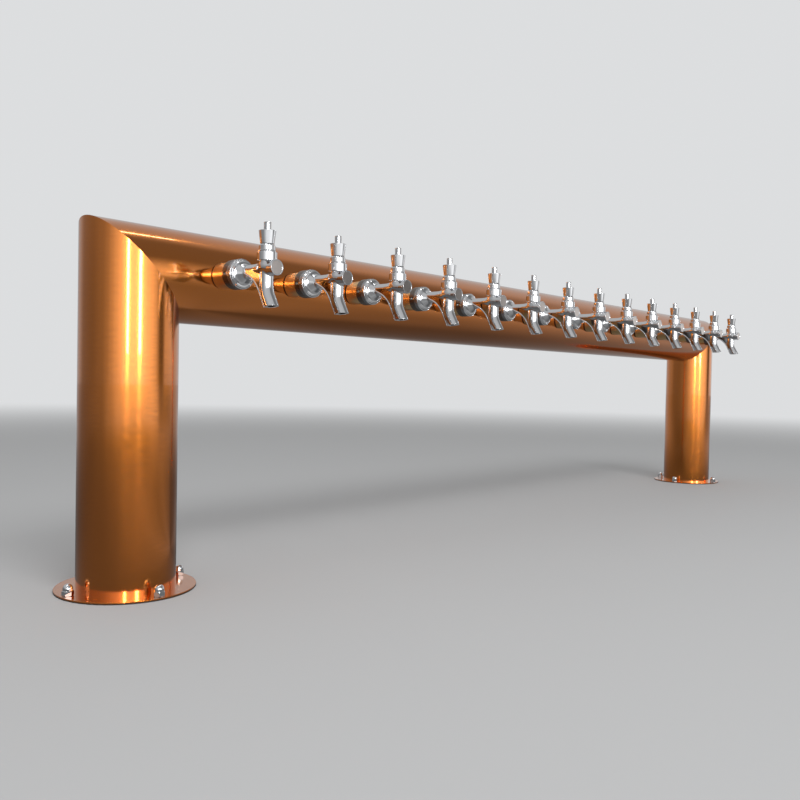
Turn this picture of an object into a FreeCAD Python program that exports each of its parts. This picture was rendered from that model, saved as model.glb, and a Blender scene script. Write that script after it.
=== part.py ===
import FreeCAD, Part
import math
import os

import Sketcher
from FreeCAD import Placement, Rotation, Vector

# Bridge draught tower: two round uprights carry a round cross tube with a row of taps on its front.
# Origin: on the counter, midway between the two uprights. X runs along the cross tube, the taps
# face -Y and Z is up. All lengths are millimetres.

DRIVING_SIZES = (
    # The tubes
    ("tube_dia", 127),
    ("tube_wall", 2),
    ("beam_height", 417),
    ("tap_count", 14),
    ("tap_pitch", 124.4),
    ("end_tap_distance", 101.4),
    # The feet and their fixings
    ("base_gasket_thick", 1),
    ("flange_dia", 180),
    ("flange_thick", 2),
    ("spigot_wall", 4.4),
    ("spigot_height", 20),
    ("bolt_edge_distance", 10),
    ("bolt_hole_dia", 9),
    ("bolt_count", 4),
    ("dome_nut_flats", 13),
    ("dome_nut_hex", 6.5),
    ("dome_nut_height", 15),
    ("dome_nut_dome", 12.5),
    ("dome_nut_bore", 6.8),
    ("dome_nut_thread", 11),
    # The shank through the wall of the cross tube, and what is threaded on it
    ("tap_hole_dia", 23),
    ("shank_dia", 22.2),
    ("shank_inside", 27.5),
    ("shank_flange_dia", 27),
    ("shank_flange_thick", 3),
    ("chamber_dia", 16.4),
    ("chamber_depth", 10),
    ("saddle_washer_dia", 36),
    ("saddle_washer_thick", 7.5),
    ("jam_nut_flats", 32),
    ("jam_nut_thick", 8),
    ("saddle_gasket_dia", 35),
    ("saddle_gasket_thick", 1.6),
    ("sleeve_dia", 35.8),
    ("sleeve_length", 25.5),
    ("coupling_dia", 40),
    ("coupling_lip", 3),
    ("coupling_bore", 28.6),
    ("coupling_chamfer", 0.6),
    ("spanner_hole_dia", 4),
    ("spanner_hole_depth", 4),
    ("spanner_hole_count", 4),
    ("spanner_hole_place", 7),
    # The faucet body. Rises are heights above the axis of the cross tube, a reach is a distance
    # in front of something, and places behind the pivot end in back
    ("tail_dia", 27.8),
    ("tail_length", 10),
    ("seat_depth", 4),
    ("shoulder_dia", 40),
    ("shoulder_thick", 1.5),
    ("bevel_dia", 36.4),
    ("bevel_length", 2),
    ("dish_dia", 33.6),
    ("dish_rim", 0.8),
    ("dish_length", 6.7),
    ("dish_curve", 15),
    ("barrel_dia", 14.4),
    ("barrel_rise", 3.4),
    ("barrel_reach", 17.5),
    ("bore_dia", 8.8),
    ("bore_rise", 2),
    ("boss_dia", 20.8),
    ("boss_rise", 13),
    ("spout_dia", 17.4),
    ("spout_bore", 10.4),
    ("spout_bend", 30),
    ("spout_corner_rise", -25.5),
    ("spout_lean", 12.6),
    ("spout_fall", 22),
    ("outlet_rise", -45.9),
    ("outlet_slope", 5.9),
    ("web_thick", 4.6),
    ("rib_dia", 5),
    ("rib_bend", 44),
    ("rib_start_reach", 4),
    ("rib_start_rise", 0.5),
    ("rib_corner_back", 19),
    ("rib_corner_rise", -8.2),
    ("rib_end_back", 3),
    ("rib_end_rise", -50.8),
    # The bonnet and the front cap
    ("bonnet_dia", 26),
    ("bonnet_height", 11),
    ("bonnet_chamfer", 1.4),
    ("lip_dia", 23),
    ("lip_height", 2),
    ("collar_dia", 21.2),
    ("neck_dia", 18.8),
    ("dome_radius", 12.7),
    ("cap_dia", 20.2),
    ("cap_thick", 3),
    ("cap_rim", 1),
    ("cap_recess", 0.4),
    ("plug_length", 11),
    ("guide_depth", 10),
    # The lever and the valve shaft
    ("pivot_reach", 52.5),
    ("pivot_rise", 25),
    ("swing", 20),
    ("rocker_dia", 11),
    ("rocker_length", 14),
    ("stem_dia", 7),
    ("arm_dia", 5.2),
    ("arm_neck_dia", 3.4),
    ("arm_neck_length", 7),
    ("foot_dia", 6.1),
    ("foot_length", 4.4),
    ("ferrule_low_dia", 16.6),
    ("ferrule_top_dia", 21.6),
    ("ferrule_top_rise", 28),
    ("stud_dia", 9.525),
    ("stud_length", 10),
    ("stud_chamfer", 0.8),
    ("shaft_dia", 5),
    ("block_dia", 7.4),
    ("block_length", 11),
    ("shaft_reach", 15.5),
    ("seal_dia", 11.2),
    ("seal_thick", 3),
    ("seal_nut_dia", 6.4),
    ("seal_nut_thick", 2),
    # The beer lines, the coolant line and the insulation
    ("line_dia", 6.35),
    ("line_insert", 12),
    ("line_bend", 14),
    ("line_pitch", 8),
    ("line_end", 5),
    ("coolant_dia", 9.5),
    ("coolant_wall_gap", 6.75),
    ("coolant_line_pitch", 14),
    ("coolant_bend", 25),
    ("foam_gap", 10),
    ("foam_shank_gap", 4),
    ("foam_end", 6),
    # Clearances: pieces that seat in each other, that run in each other, that only pass
    ("seat_gap", 0.1),
    ("running_gap", 0.06),
    ("free_gap", 0.35),
    ("seal_gap", 0.1),
)

BEYOND = 5.0  # how far a cutting outline reaches past what it cuts


class Size:
    """A length that knows its number and the expression that binds it to the sheet."""

    def __init__(self, value, text):
        self.value = value
        self.text = text

    def __add__(self, other):
        other = size(other)
        return Size(self.value + other.value, "(%s + %s)" % (self.text, other.text))

    def __sub__(self, other):
        other = size(other)
        return Size(self.value - other.value, "(%s - %s)" % (self.text, other.text))

    def __mul__(self, other):
        other = size(other)
        return Size(self.value * other.value, "(%s * %s)" % (self.text, other.text))

    def __truediv__(self, other):
        other = size(other)
        return Size(self.value / other.value, "(%s / %s)" % (self.text, other.text))

    def __neg__(self):
        return Size(-self.value, "(0 - %s)" % self.text)

    def __rsub__(self, other):
        return size(other) - self

    __radd__ = __add__
    __rmul__ = __mul__


def size(item):
    return item if isinstance(item, Size) else Size(float(item), "%.6f" % item)


def root(item):
    return Size(math.sqrt(item.value), "sqrt(%s)" % item.text)


def sine(angle):
    return Size(math.sin(math.radians(angle.value)), "sin(%s * 1 deg)" % angle.text)


def cosine(angle):
    return Size(math.cos(math.radians(angle.value)), "cos(%s * 1 deg)" % angle.text)


def tangent(angle):
    return sine(angle) / cosine(angle)


def side_of(hypotenuse, other_side):
    return root(hypotenuse * hypotenuse - other_side * other_side)


doc = FreeCAD.newDocument("bridge_tower")
sheet = doc.addObject("Spreadsheet::Sheet", "Sizes")
for row, (alias, number) in enumerate(DRIVING_SIZES, start=1):
    sheet.set("A%d" % row, alias)
    sheet.set("B%d" % row, str(number))
    sheet.setAlias("B%d" % row, alias)
doc.recompute()


class Sheet:
    """Every alias of the sheet as a Size."""


S = Sheet()
for alias, number in DRIVING_SIZES:
    setattr(S, alias, Size(float(getattr(sheet, alias)), "Sizes." + alias))

# Sizes that several pieces share
tube_r = S.tube_dia / 2
inner_r = tube_r - S.tube_wall
flange_top = S.base_gasket_thick + S.flange_thick
beam_rise = S.beam_height - flange_top
column_spacing = S.tap_pitch * (S.tap_count - 1) + S.end_tap_distance * 2
half_spacing = column_spacing / 2
spigot_r = inner_r - S.seat_gap
flange_bore_r = spigot_r - S.spigot_wall
saddle_r = tube_r + S.saddle_gasket_thick
bolt_circle_r = S.flange_dia / 2 - S.bolt_edge_distance

# Depths, counted forward from the axis of the cross tube
shank_tail = inner_r - S.shank_inside
washer_face = inner_r - S.saddle_washer_thick
sleeve_front = tube_r + S.sleeve_length
lip_front = sleeve_front + S.coupling_lip
shank_front = lip_front + S.shank_flange_thick
coupling_front = shank_front + S.tail_length
seat_plane = shank_front + S.seat_depth
pivot_depth = coupling_front + S.pivot_reach
barrel_front = pivot_depth + S.barrel_reach
rib_start = coupling_front + S.rib_start_reach
rib_end = pivot_depth - S.rib_end_back

arm_length = S.pivot_rise - S.bore_rise
rocker_seat_r = S.rocker_dia / 2 + S.running_gap
coolant_lane = inner_r - S.coolant_wall_gap - S.coolant_dia / 2
foam_front = shank_tail - S.foam_shank_gap
bonnet_bore_r = S.neck_dia / 2 + S.seat_gap


# Sketches and features

def origin_feature(body, role):
    return [item for item in body.Origin.OriginFeatures if item.Role == role][0]


def bind(thing, path, item):
    thing.setExpression(path, size(item).text)


def new_body(name):
    body = doc.addObject("PartDesign::Body", name)
    body.Label = name
    return body


def new_sketch(body, plane, name, lift=None):
    """A sketch on one of the body's own planes, or lifted off it along its normal."""
    sketch = body.newObject("Sketcher::SketchObject", body.Name + "_" + name)
    sketch.AttachmentSupport = [(origin_feature(body, plane), "")]
    sketch.MapMode = "FlatFace"
    if lift is not None:
        bind(sketch, "AttachmentOffset.Base.z", lift)
    return sketch


def pin(sketch, geometry, end, place):
    """Fix one end of a line or arc at its place."""
    for kind, axis, coordinate in (("DistanceX", -2, place[0]), ("DistanceY", -1, place[1])):
        coordinate = size(coordinate)
        if coordinate.value == 0:
            sketch.addConstraint(Sketcher.Constraint("PointOnObject", geometry, end, axis))
        else:
            number = sketch.addConstraint(Sketcher.Constraint(kind, geometry, end, coordinate.value))
            bind(sketch, "Constraints[%d]" % number, coordinate)


def flat_point(place):
    return Vector(size(place[0]).value, size(place[1]).value, 0)


def arc_between(start, end, radius):
    """The arc under a half circle from start to end, anticlockwise where its radius is positive."""
    middle = (start + end) * 0.5
    chord = end - start
    rise = math.sqrt(radius * radius - (chord.Length / 2) ** 2)
    left = Vector(-chord.y, chord.x, 0).normalize()
    centre = middle + left * math.copysign(rise, radius)
    first, last = (start, end) if radius > 0 else (end, start)
    angles = [math.atan2(point.y - centre.y, point.x - centre.x) for point in (first, last)]
    circle = Part.Circle(centre, Vector(0, 0, 1), abs(radius))
    return Part.ArcOfCircle(circle, angles[0], angles[1])


def outline(sketch, corners):
    """A closed outline. A corner is (x, y), or (x, y, radius) where an arc arrives at it."""
    edges = []
    for number, corner in enumerate(corners):
        before = corners[number - 1]
        start, end = flat_point(before), flat_point(corner)
        if len(corner) == 3:
            radius = size(corner[2])
            edge = sketch.addGeometry(arc_between(start, end, radius.value))
            ends = (1, 2) if radius.value > 0 else (2, 1)
            length = radius if radius.value > 0 else -radius
            held = sketch.addConstraint(Sketcher.Constraint("Radius", edge, length.value))
            bind(sketch, "Constraints[%d]" % held, length)
        else:
            edge = sketch.addGeometry(Part.LineSegment(start, end))
            ends = (1, 2)
        pin(sketch, edge, ends[1], corner)
        edges.append((edge, ends))
    for number, (edge, ends) in enumerate(edges):
        last, last_ends = edges[number - 1]
        sketch.addConstraint(Sketcher.Constraint("Coincident", last, last_ends[1], edge, ends[0]))


def ring(sketch, centre, *diameters):
    """Circles about one centre."""
    for diameter in diameters:
        diameter = size(diameter)
        circle = Part.Circle(flat_point(centre), Vector(0, 0, 1), diameter.value / 2)
        edge = sketch.addGeometry(circle)
        pin(sketch, edge, 3, centre)
        number = sketch.addConstraint(Sketcher.Constraint("Diameter", edge, diameter.value))
        bind(sketch, "Constraints[%d]" % number, diameter)


def hexagon(sketch, across_flats):
    """A regular hexagon about the sketch's origin, with two flats square to its y axis."""
    reach = size(across_flats) / math.sqrt(3)
    half = size(across_flats) / 2
    outline(sketch, [(reach, 0), (reach / 2, half), (-reach / 2, half),
                     (-reach, 0), (-reach / 2, -half), (reach / 2, -half)])


def bent_line(sketch, start, corner, end, radius):
    """Two straight runs through a corner, with a tangent arc between them. Gives its end edges."""
    first, middle, last = flat_point(start), flat_point(corner), flat_point(end)
    arriving = (middle - first).normalize()
    leaving = (last - middle).normalize()
    half_turn = arriving.getAngle(leaving) / 2
    reach = radius.value * math.tan(half_turn)
    turn = math.copysign(1, arriving.x * leaving.y - arriving.y * leaving.x)
    before, after = middle - arriving * reach, middle + leaving * reach
    run_in = sketch.addGeometry(Part.LineSegment(first, before))
    bend = sketch.addGeometry(arc_between(before, after, turn * radius.value))
    run_out = sketch.addGeometry(Part.LineSegment(after, last))
    mark = sketch.addGeometry(Part.Point(middle), True)
    bend_ends = (1, 2) if turn > 0 else (2, 1)
    sketch.addConstraint(Sketcher.Constraint("Tangent", run_in, 2, bend, bend_ends[0]))
    sketch.addConstraint(Sketcher.Constraint("Tangent", bend, bend_ends[1], run_out, 1))
    sketch.addConstraint(Sketcher.Constraint("PointOnObject", mark, 1, run_in))
    sketch.addConstraint(Sketcher.Constraint("PointOnObject", mark, 1, run_out))
    number = sketch.addConstraint(Sketcher.Constraint("Radius", bend, radius.value))
    bind(sketch, "Constraints[%d]" % number, radius)
    pin(sketch, mark, 1, corner)
    pin(sketch, run_in, 1, start)
    pin(sketch, run_out, 2, end)
    return run_in, run_out


def changed(body, feature, grows):
    """A feature that misses its body changes nothing, so its volume is compared."""
    before = 0 if body.Shape.isNull() else body.Shape.Volume
    doc.recompute()
    after = feature.Shape.Volume
    if (after > before) != grows or abs(after - before) < 1e-3:
        raise RuntimeError("%s leaves %s as it was" % (feature.Name, body.Name))
    return feature


def turn(body, sketch, axis="V_Axis", cut=False):
    kind = "PartDesign::Groove" if cut else "PartDesign::Revolution"
    feature = body.newObject(kind, sketch.Name + "_turned")
    feature.Profile = sketch
    feature.ReferenceAxis = (sketch, [axis])
    feature.Angle = 360
    return changed(body, feature, not cut)


def pad(body, sketch, length, both_ways=False):
    feature = body.newObject("PartDesign::Pad", sketch.Name + "_pad")
    feature.Profile = sketch
    feature.SideType = "Symmetric" if both_ways else "One side"
    bind(feature, "Length", length)
    return changed(body, feature, True)


def pocket(body, sketch, length, both_ways=False, forward=False):
    """A cut against the sketch's normal, along it, or both ways."""
    feature = body.newObject("PartDesign::Pocket", sketch.Name + "_pocket")
    feature.Profile = sketch
    feature.SideType = "Symmetric" if both_ways else "One side"
    feature.Reversed = forward
    bind(feature, "Length", length)
    return changed(body, feature, False)


def pipe(body, profile, path, cut=False):
    kind = "PartDesign::SubtractivePipe" if cut else "PartDesign::AdditivePipe"
    feature = body.newObject(kind, profile.Name + "_pipe")
    feature.Profile = profile
    feature.Spine = path
    return changed(body, feature, not cut)


def repeat_round(body, feature, count, axis="Z_Axis"):
    pattern = body.newObject("PartDesign::PolarPattern", feature.Name + "_round")
    pattern.Originals = [feature]
    pattern.Axis = (origin_feature(body, axis), [""])
    pattern.Angle = 360
    bind(pattern, "Occurrences", count)
    body.Tip = pattern
    return changed(body, pattern, False)


def repeat_along(body, feature, axis, spacing, count):
    pattern = body.newObject("PartDesign::LinearPattern", feature.Name + "_row")
    pattern.Originals = [feature]
    pattern.Direction = (origin_feature(body, axis), [""])
    bind(pattern, "Length", spacing * (count - 1))
    bind(pattern, "Occurrences", count)
    body.Tip = pattern
    return changed(body, pattern, False)


# Nodes: what is written to a file of its own

nodes = {}


def put(thing, x=0, y=0, z=0):
    """Place an object of the document, bound to the sheet."""
    for axis, shift in (("x", x), ("y", y), ("z", z)):
        if size(shift).text != size(0).text:
            bind(thing, "Placement.Base." + axis, shift)
    return thing


def copy_of(master, label, x=0, y=0, z=0, half_turn=False):
    """A linked copy of a piece at its own place."""
    link = doc.addObject("App::Link", label)
    link.Label = label
    link.LinkedObject = master
    if half_turn:
        link.Placement = Placement(Vector(), Rotation(Vector(0, 0, 1), 180))
    return put(link, x, y, z)


def node(thing):
    nodes[thing.Label] = thing
    return thing


def group(label, pieces):
    """One node that holds several separate solids."""
    compound = doc.addObject("Part::Compound", label)
    compound.Label = label
    compound.Links = pieces
    return node(compound)


def tap_place(number):
    """The x of a tap, counted from 0 at the left."""
    return S.tap_pitch * (number - (S.tap_count - 1) / 2)


TAPS = range(int(S.tap_count.value))


def on_every_tap(master, label, y=0, z=S.beam_height):
    """A group node with one linked copy of the piece for each tap."""
    pieces = [copy_of(master, "%s_at_%02d" % (label, n + 1), tap_place(n), y, z) for n in TAPS]
    return group(label, pieces)


def node_per_tap(master, label, y=0, z=S.beam_height):
    """A node of its own for each tap."""
    for n in TAPS:
        node(copy_of(master, "%s_%02d" % (label, n + 1), tap_place(n), y, z))


# The tubes

def make_beam():
    """Cross tube, mitred at both ends, with a round hole for each shank in its front wall."""
    body = new_body("beam")
    section = new_sketch(body, "YZ_Plane", "section")
    ring(section, (0, 0), S.tube_dia, inner_r * 2)
    pad(body, section, column_spacing + S.tube_dia, both_ways=True)
    mitres = new_sketch(body, "XZ_Plane", "mitres")
    reach = tube_r + BEYOND
    for end in (-1, 1):
        corner = half_spacing * end
        outline(mitres, [(corner + reach * end, reach), (corner + reach * end, -reach),
                         (corner - reach * end, -reach)])
    pocket(body, mitres, S.tube_dia + BEYOND, both_ways=True)
    hole = new_sketch(body, "XZ_Plane", "tap_hole", lift=tube_r + BEYOND)
    ring(hole, (tap_place(0), 0), S.tap_hole_dia)
    first = pocket(body, hole, tube_r)
    repeat_along(body, first, "X_Axis", S.tap_pitch, S.tap_count)
    put(body, z=S.beam_height)
    node(body)


def make_columns():
    """Uprights, mitred at the top to meet the cross tube."""
    left = new_body("left_column")
    section = new_sketch(left, "XY_Plane", "section")
    ring(section, (0, 0), S.tube_dia, inner_r * 2)
    pad(left, section, beam_rise + tube_r)
    mitre = new_sketch(left, "XZ_Plane", "mitre")
    reach = tube_r + BEYOND
    outline(mitre, [(-reach, beam_rise + reach), (reach, beam_rise - reach),
                    (reach, beam_rise + reach)])
    pocket(left, mitre, S.tube_dia + BEYOND, both_ways=True)
    put(left, x=-half_spacing, z=flange_top)
    node(left)
    node(copy_of(left, "right_column", half_spacing, 0, flange_top, half_turn=True))


# The feet

def bolt_holes(body, thick):
    hole = new_sketch(body, "XY_Plane", "bolt_hole", lift=thick + BEYOND)
    ring(hole, (bolt_circle_r, 0), S.bolt_hole_dia)
    first = pocket(body, hole, thick + BEYOND * 2)
    repeat_round(body, first, S.bolt_count)


def make_flanges():
    """Thin round flanges, each with a spigot that the upright slips over."""
    left = new_body("left_flange")
    half = new_sketch(left, "XZ_Plane", "half_section")
    spigot_top = S.flange_thick + S.spigot_height
    outline(half, [(flange_bore_r, 0), (S.flange_dia / 2, 0), (S.flange_dia / 2, S.flange_thick),
                   (spigot_r, S.flange_thick), (spigot_r, spigot_top), (flange_bore_r, spigot_top)])
    turn(left, half)
    bolt_holes(left, S.flange_thick)
    put(left, x=-half_spacing, z=S.base_gasket_thick)
    node(left)
    node(copy_of(left, "right_flange", half_spacing, 0, S.base_gasket_thick))


def make_base_gaskets():
    """Flat gaskets under the flanges."""
    gasket = new_body("base_gasket")
    section = new_sketch(gasket, "XY_Plane", "section")
    ring(section, (0, 0), S.flange_dia, flange_bore_r * 2)
    pad(gasket, section, S.base_gasket_thick)
    bolt_holes(gasket, S.base_gasket_thick)
    group("base_gaskets", [copy_of(gasket, "left_base_gasket", -half_spacing),
                           copy_of(gasket, "right_base_gasket", half_spacing)])


def make_dome_nuts():
    """Dome nuts on the flanges, over the bolt holes."""
    nut = new_body("dome_nut")
    hexagonal = new_sketch(nut, "XY_Plane", "hexagon")
    hexagon(hexagonal, S.dome_nut_flats)
    pad(nut, hexagonal, S.dome_nut_hex)
    dome = new_sketch(nut, "XZ_Plane", "dome")
    dome_r = S.dome_nut_dome / 2
    shoulder = S.dome_nut_height - dome_r
    outline(dome, [(0, S.dome_nut_hex / 2), (dome_r, S.dome_nut_hex / 2), (dome_r, shoulder),
                   (0, S.dome_nut_height, dome_r)])
    turn(nut, dome)
    bore = new_sketch(nut, "XZ_Plane", "thread_bore")
    bore_r = S.dome_nut_bore / 2
    outline(bore, [(0, 0), (bore_r, 0), (bore_r, S.dome_nut_thread),
                   (0, S.dome_nut_thread + bore_r)])
    turn(nut, bore, cut=True)
    pieces = []
    for foot, side in (("left", -1), ("right", 1)):
        for n in range(int(S.bolt_count.value)):
            angle = size(360 * n) / S.bolt_count
            x = half_spacing * side + bolt_circle_r * cosine(angle)
            y = bolt_circle_r * sine(angle)
            pieces.append(copy_of(nut, "%s_dome_nut_%d" % (foot, n + 1), x, y, flange_top))
    group("dome_nuts", pieces)


# The shank and what clamps it to the wall of the cross tube

def saddle_cut(body, name, radius, keep_outside):
    """A cut with the round of the cross tube; keeps what lies outside or inside the radius."""
    round_cut = new_sketch(body, "YZ_Plane", name)
    ring(round_cut, (0, 0), radius * 2)
    if not keep_outside:
        ring(round_cut, (0, 0), (tube_r + S.tube_dia) * 2)
    pocket(body, round_cut, S.saddle_washer_dia * 2, both_ways=True)


def front_tube(body, name, start, front, *diameters):
    """A round piece along the tap's axis, from start to front, before the cross tube's axis."""
    section = new_sketch(body, "XZ_Plane", name, lift=start)
    ring(section, (0, 0), *diameters)
    pad(body, section, front - start)


def make_shank_gaskets():
    """Thin saddle gaskets between the cross tube and the sleeves."""
    gasket = new_body("shank_gasket")
    reach = S.saddle_gasket_dia / 2
    front_tube(gasket, "round", side_of(tube_r, reach) - BEYOND, saddle_r + BEYOND,
               S.saddle_gasket_dia, S.tap_hole_dia)
    saddle_cut(gasket, "seat", tube_r + S.seat_gap, keep_outside=True)
    saddle_cut(gasket, "front", saddle_r, keep_outside=False)
    on_every_tap(gasket, "shank_gaskets")


def make_shank_sleeves():
    """Sleeves round the shanks, their rear ends cut to the round of the cross tube."""
    sleeve = new_body("shank_sleeve")
    front_tube(sleeve, "round", side_of(tube_r, S.sleeve_dia / 2) - BEYOND, sleeve_front,
               S.sleeve_dia, S.tap_hole_dia)
    saddle_cut(sleeve, "saddle", saddle_r + S.seat_gap, keep_outside=True)
    on_every_tap(sleeve, "shank_sleeves")


def make_shanks():
    """Shanks through the wall, with a front flange and a chamber for the valve's seal."""
    shank = new_body("shank")
    half = new_sketch(shank, "YZ_Plane", "half_section")
    chamber_back = shank_front - S.chamber_depth
    bore_r = S.line_dia / 2 + S.seat_gap
    outline(half, [(-shank_tail, bore_r), (-chamber_back, bore_r),
                   (-chamber_back, S.chamber_dia / 2), (-shank_front, S.chamber_dia / 2),
                   (-shank_front, S.shank_flange_dia / 2), (-lip_front, S.shank_flange_dia / 2),
                   (-lip_front, S.shank_dia / 2), (-shank_tail, S.shank_dia / 2)])
    turn(shank, half, "H_Axis")
    on_every_tap(shank, "shanks")


def make_saddle_washers():
    """Washers inside the cross tube: round towards its wall, flat towards the jam nut."""
    washer = new_body("saddle_washer")
    front_tube(washer, "round", washer_face, tube_r, S.saddle_washer_dia, S.tap_hole_dia)
    saddle_cut(washer, "saddle", inner_r - S.seat_gap, keep_outside=False)
    on_every_tap(washer, "saddle_washers")


def make_shank_nuts():
    """Hexagonal jam nuts that pull the shanks tight."""
    nut = new_body("shank_nut")
    section = new_sketch(nut, "XZ_Plane", "hexagon", lift=washer_face - S.jam_nut_thick)
    hexagon(section, S.jam_nut_flats)
    ring(section, (0, 0), S.shank_dia + S.seat_gap * 2)
    pad(nut, section, S.jam_nut_thick)
    on_every_tap(nut, "shank_nuts")


def make_coupling_nuts():
    """Round coupling nuts with spanner holes; they draw the faucet body against the shank."""
    nut = new_body("coupling_nut")
    half = new_sketch(nut, "YZ_Plane", "half_section")
    outer = S.coupling_dia / 2
    back = sleeve_front
    front = coupling_front
    lip_r = S.shank_dia / 2 + S.free_gap
    bore_r = S.coupling_bore / 2
    edge = S.coupling_chamfer
    outline(half, [(-back, lip_r), (-lip_front, lip_r), (-lip_front, bore_r), (-front, bore_r),
                   (-front, outer - edge), (-(front - edge), outer), (-(back + edge), outer),
                   (-back, outer - edge)])
    turn(nut, half, "H_Axis")
    hole = new_sketch(nut, "XY_Plane", "spanner_hole", lift=outer + BEYOND)
    ring(hole, (0, -(back + S.spanner_hole_place)), S.spanner_hole_dia)
    first = pocket(nut, hole, S.spanner_hole_depth + BEYOND)
    repeat_round(nut, first, S.spanner_hole_count, "Y_Axis")
    on_every_tap(nut, "coupling_nuts")


# The faucet

def spout_line(sketch):
    """Centre line of the spout: straight down, then leaning forward."""
    bottom = S.spout_corner_rise - S.spout_fall
    return bent_line(sketch, (-pivot_depth, S.barrel_rise), (-pivot_depth, S.spout_corner_rise),
                     (-(pivot_depth + S.spout_lean), bottom), S.spout_bend)


def rib_line(sketch):
    """Centre line of the bead along the edge of the web."""
    return bent_line(sketch, (-rib_start, S.rib_start_rise),
                     (-(pivot_depth - S.rib_corner_back), S.rib_corner_rise),
                     (-rib_end, S.rib_end_rise), S.rib_bend)


def along_line(body, name, line, plane, diameter, lift, centre, cut=False):
    """A round bar or bore along a bent line."""
    path = new_sketch(body, "YZ_Plane", name + "_line")
    line(path)
    section = new_sketch(body, plane, name, lift=lift)
    ring(section, centre, diameter)
    pipe(body, section, path, cut)


def make_faucet_body():
    """Cast faucet body: tail, shoulder and dished cone, barrel, boss and neck, web and spout."""
    body = new_body("faucet_body")
    shoulder_front = coupling_front + S.shoulder_thick
    bevel_front = shoulder_front + S.bevel_length
    rim_front = bevel_front + S.dish_rim
    dish_front = rim_front + S.dish_length
    barrel_r = S.barrel_dia / 2

    tail = new_sketch(body, "YZ_Plane", "tail")
    outline(tail, [(-shank_front, 0), (-shank_front, S.tail_dia / 2),
                   (-coupling_front, S.tail_dia / 2), (-coupling_front, S.shoulder_dia / 2),
                   (-shoulder_front, S.shoulder_dia / 2), (-bevel_front, S.bevel_dia / 2),
                   (-rim_front, S.dish_dia / 2), (-dish_front, barrel_r, -S.dish_curve),
                   (-dish_front, 0)])
    turn(body, tail, "H_Axis")

    web = new_sketch(body, "YZ_Plane", "web")
    first_run, last_run = rib_line(web)
    inside = [(-rib_end - S.rib_dia, S.rib_end_rise),
              (-pivot_depth, S.spout_corner_rise),
              (-pivot_depth, S.barrel_rise),
              (-rib_start, S.barrel_rise)]
    joined = (last_run, 2)
    for place in inside + [None]:
        start = web.getPoint(*joined)
        if place is None:
            end = web.getPoint(first_run, 1)
            edge = web.addGeometry(Part.LineSegment(start, end))
            web.addConstraint(Sketcher.Constraint("Coincident", edge, 2, first_run, 1))
        else:
            edge = web.addGeometry(Part.LineSegment(start, flat_point(place)))
            pin(web, edge, 2, place)
        web.addConstraint(Sketcher.Constraint("Coincident", joined[0], joined[1], edge, 1))
        joined = (edge, 2)
    pad(body, web, S.web_thick, both_ways=True)

    along_line(body, "bead", rib_line, "XZ_Plane", S.rib_dia, rib_start,
               (0, S.rib_start_rise))
    along_line(body, "spout", spout_line, "XY_Plane", S.spout_dia, S.barrel_rise,
               (0, -pivot_depth))

    barrel = new_sketch(body, "XZ_Plane", "barrel", lift=shoulder_front)
    ring(barrel, (0, S.barrel_rise), S.barrel_dia)
    pad(body, barrel, barrel_front - shoulder_front)

    boss = new_sketch(body, "XY_Plane", "boss", lift=S.barrel_rise)
    ring(boss, (0, -pivot_depth), S.boss_dia)
    pad(body, boss, S.boss_rise - S.barrel_rise)
    neck = new_sketch(body, "XY_Plane", "neck", lift=S.boss_rise)
    ring(neck, (0, -pivot_depth), S.neck_dia)
    pad(body, neck, S.pivot_rise - S.boss_rise)

    saddle = new_sketch(body, "YZ_Plane", "rocker_saddle")
    ring(saddle, (-pivot_depth, S.pivot_rise), rocker_seat_r * 2)
    pocket(body, saddle, S.boss_dia * 2, both_ways=True)

    arm_slot = new_sketch(body, "YZ_Plane", "arm_slot")
    half_slot = S.foot_dia / 2 + S.free_gap
    swept = arm_length * tangent(S.swing)
    outline(arm_slot, [(-(pivot_depth + half_slot), S.pivot_rise),
                       (-(pivot_depth + half_slot), S.bore_rise),
                       (-(pivot_depth - half_slot - swept), S.bore_rise),
                       (-(pivot_depth - half_slot), S.pivot_rise)])
    pocket(body, arm_slot, S.arm_dia + S.free_gap * 2, both_ways=True)

    bore = new_sketch(body, "XZ_Plane", "bore", lift=barrel_front + BEYOND)
    ring(bore, (0, S.bore_rise), S.bore_dia)
    pocket(body, bore, barrel_front + BEYOND * 2 - shank_front)
    chamber = new_sketch(body, "XZ_Plane", "chamber", lift=seat_plane)
    ring(chamber, (0, 0), S.chamber_dia)
    pocket(body, chamber, S.seat_depth + BEYOND)
    along_line(body, "spout_bore", spout_line, "XY_Plane", S.spout_bore, S.barrel_rise,
               (0, -pivot_depth), cut=True)

    outlet = new_sketch(body, "YZ_Plane", "outlet")
    reach = S.spout_dia * 2
    drop = reach * tangent(S.outlet_slope)
    middle = pivot_depth + S.spout_lean / 2
    outline(outlet, [(-(middle + reach), S.outlet_rise + drop),
                     (-(middle - reach), S.outlet_rise - drop),
                     (-(middle - reach), S.outlet_rise - reach),
                     (-(middle + reach), S.outlet_rise - reach)])
    pocket(body, outlet, S.spout_dia * 2, both_ways=True)
    on_every_tap(body, "faucet_bodies")


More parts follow.
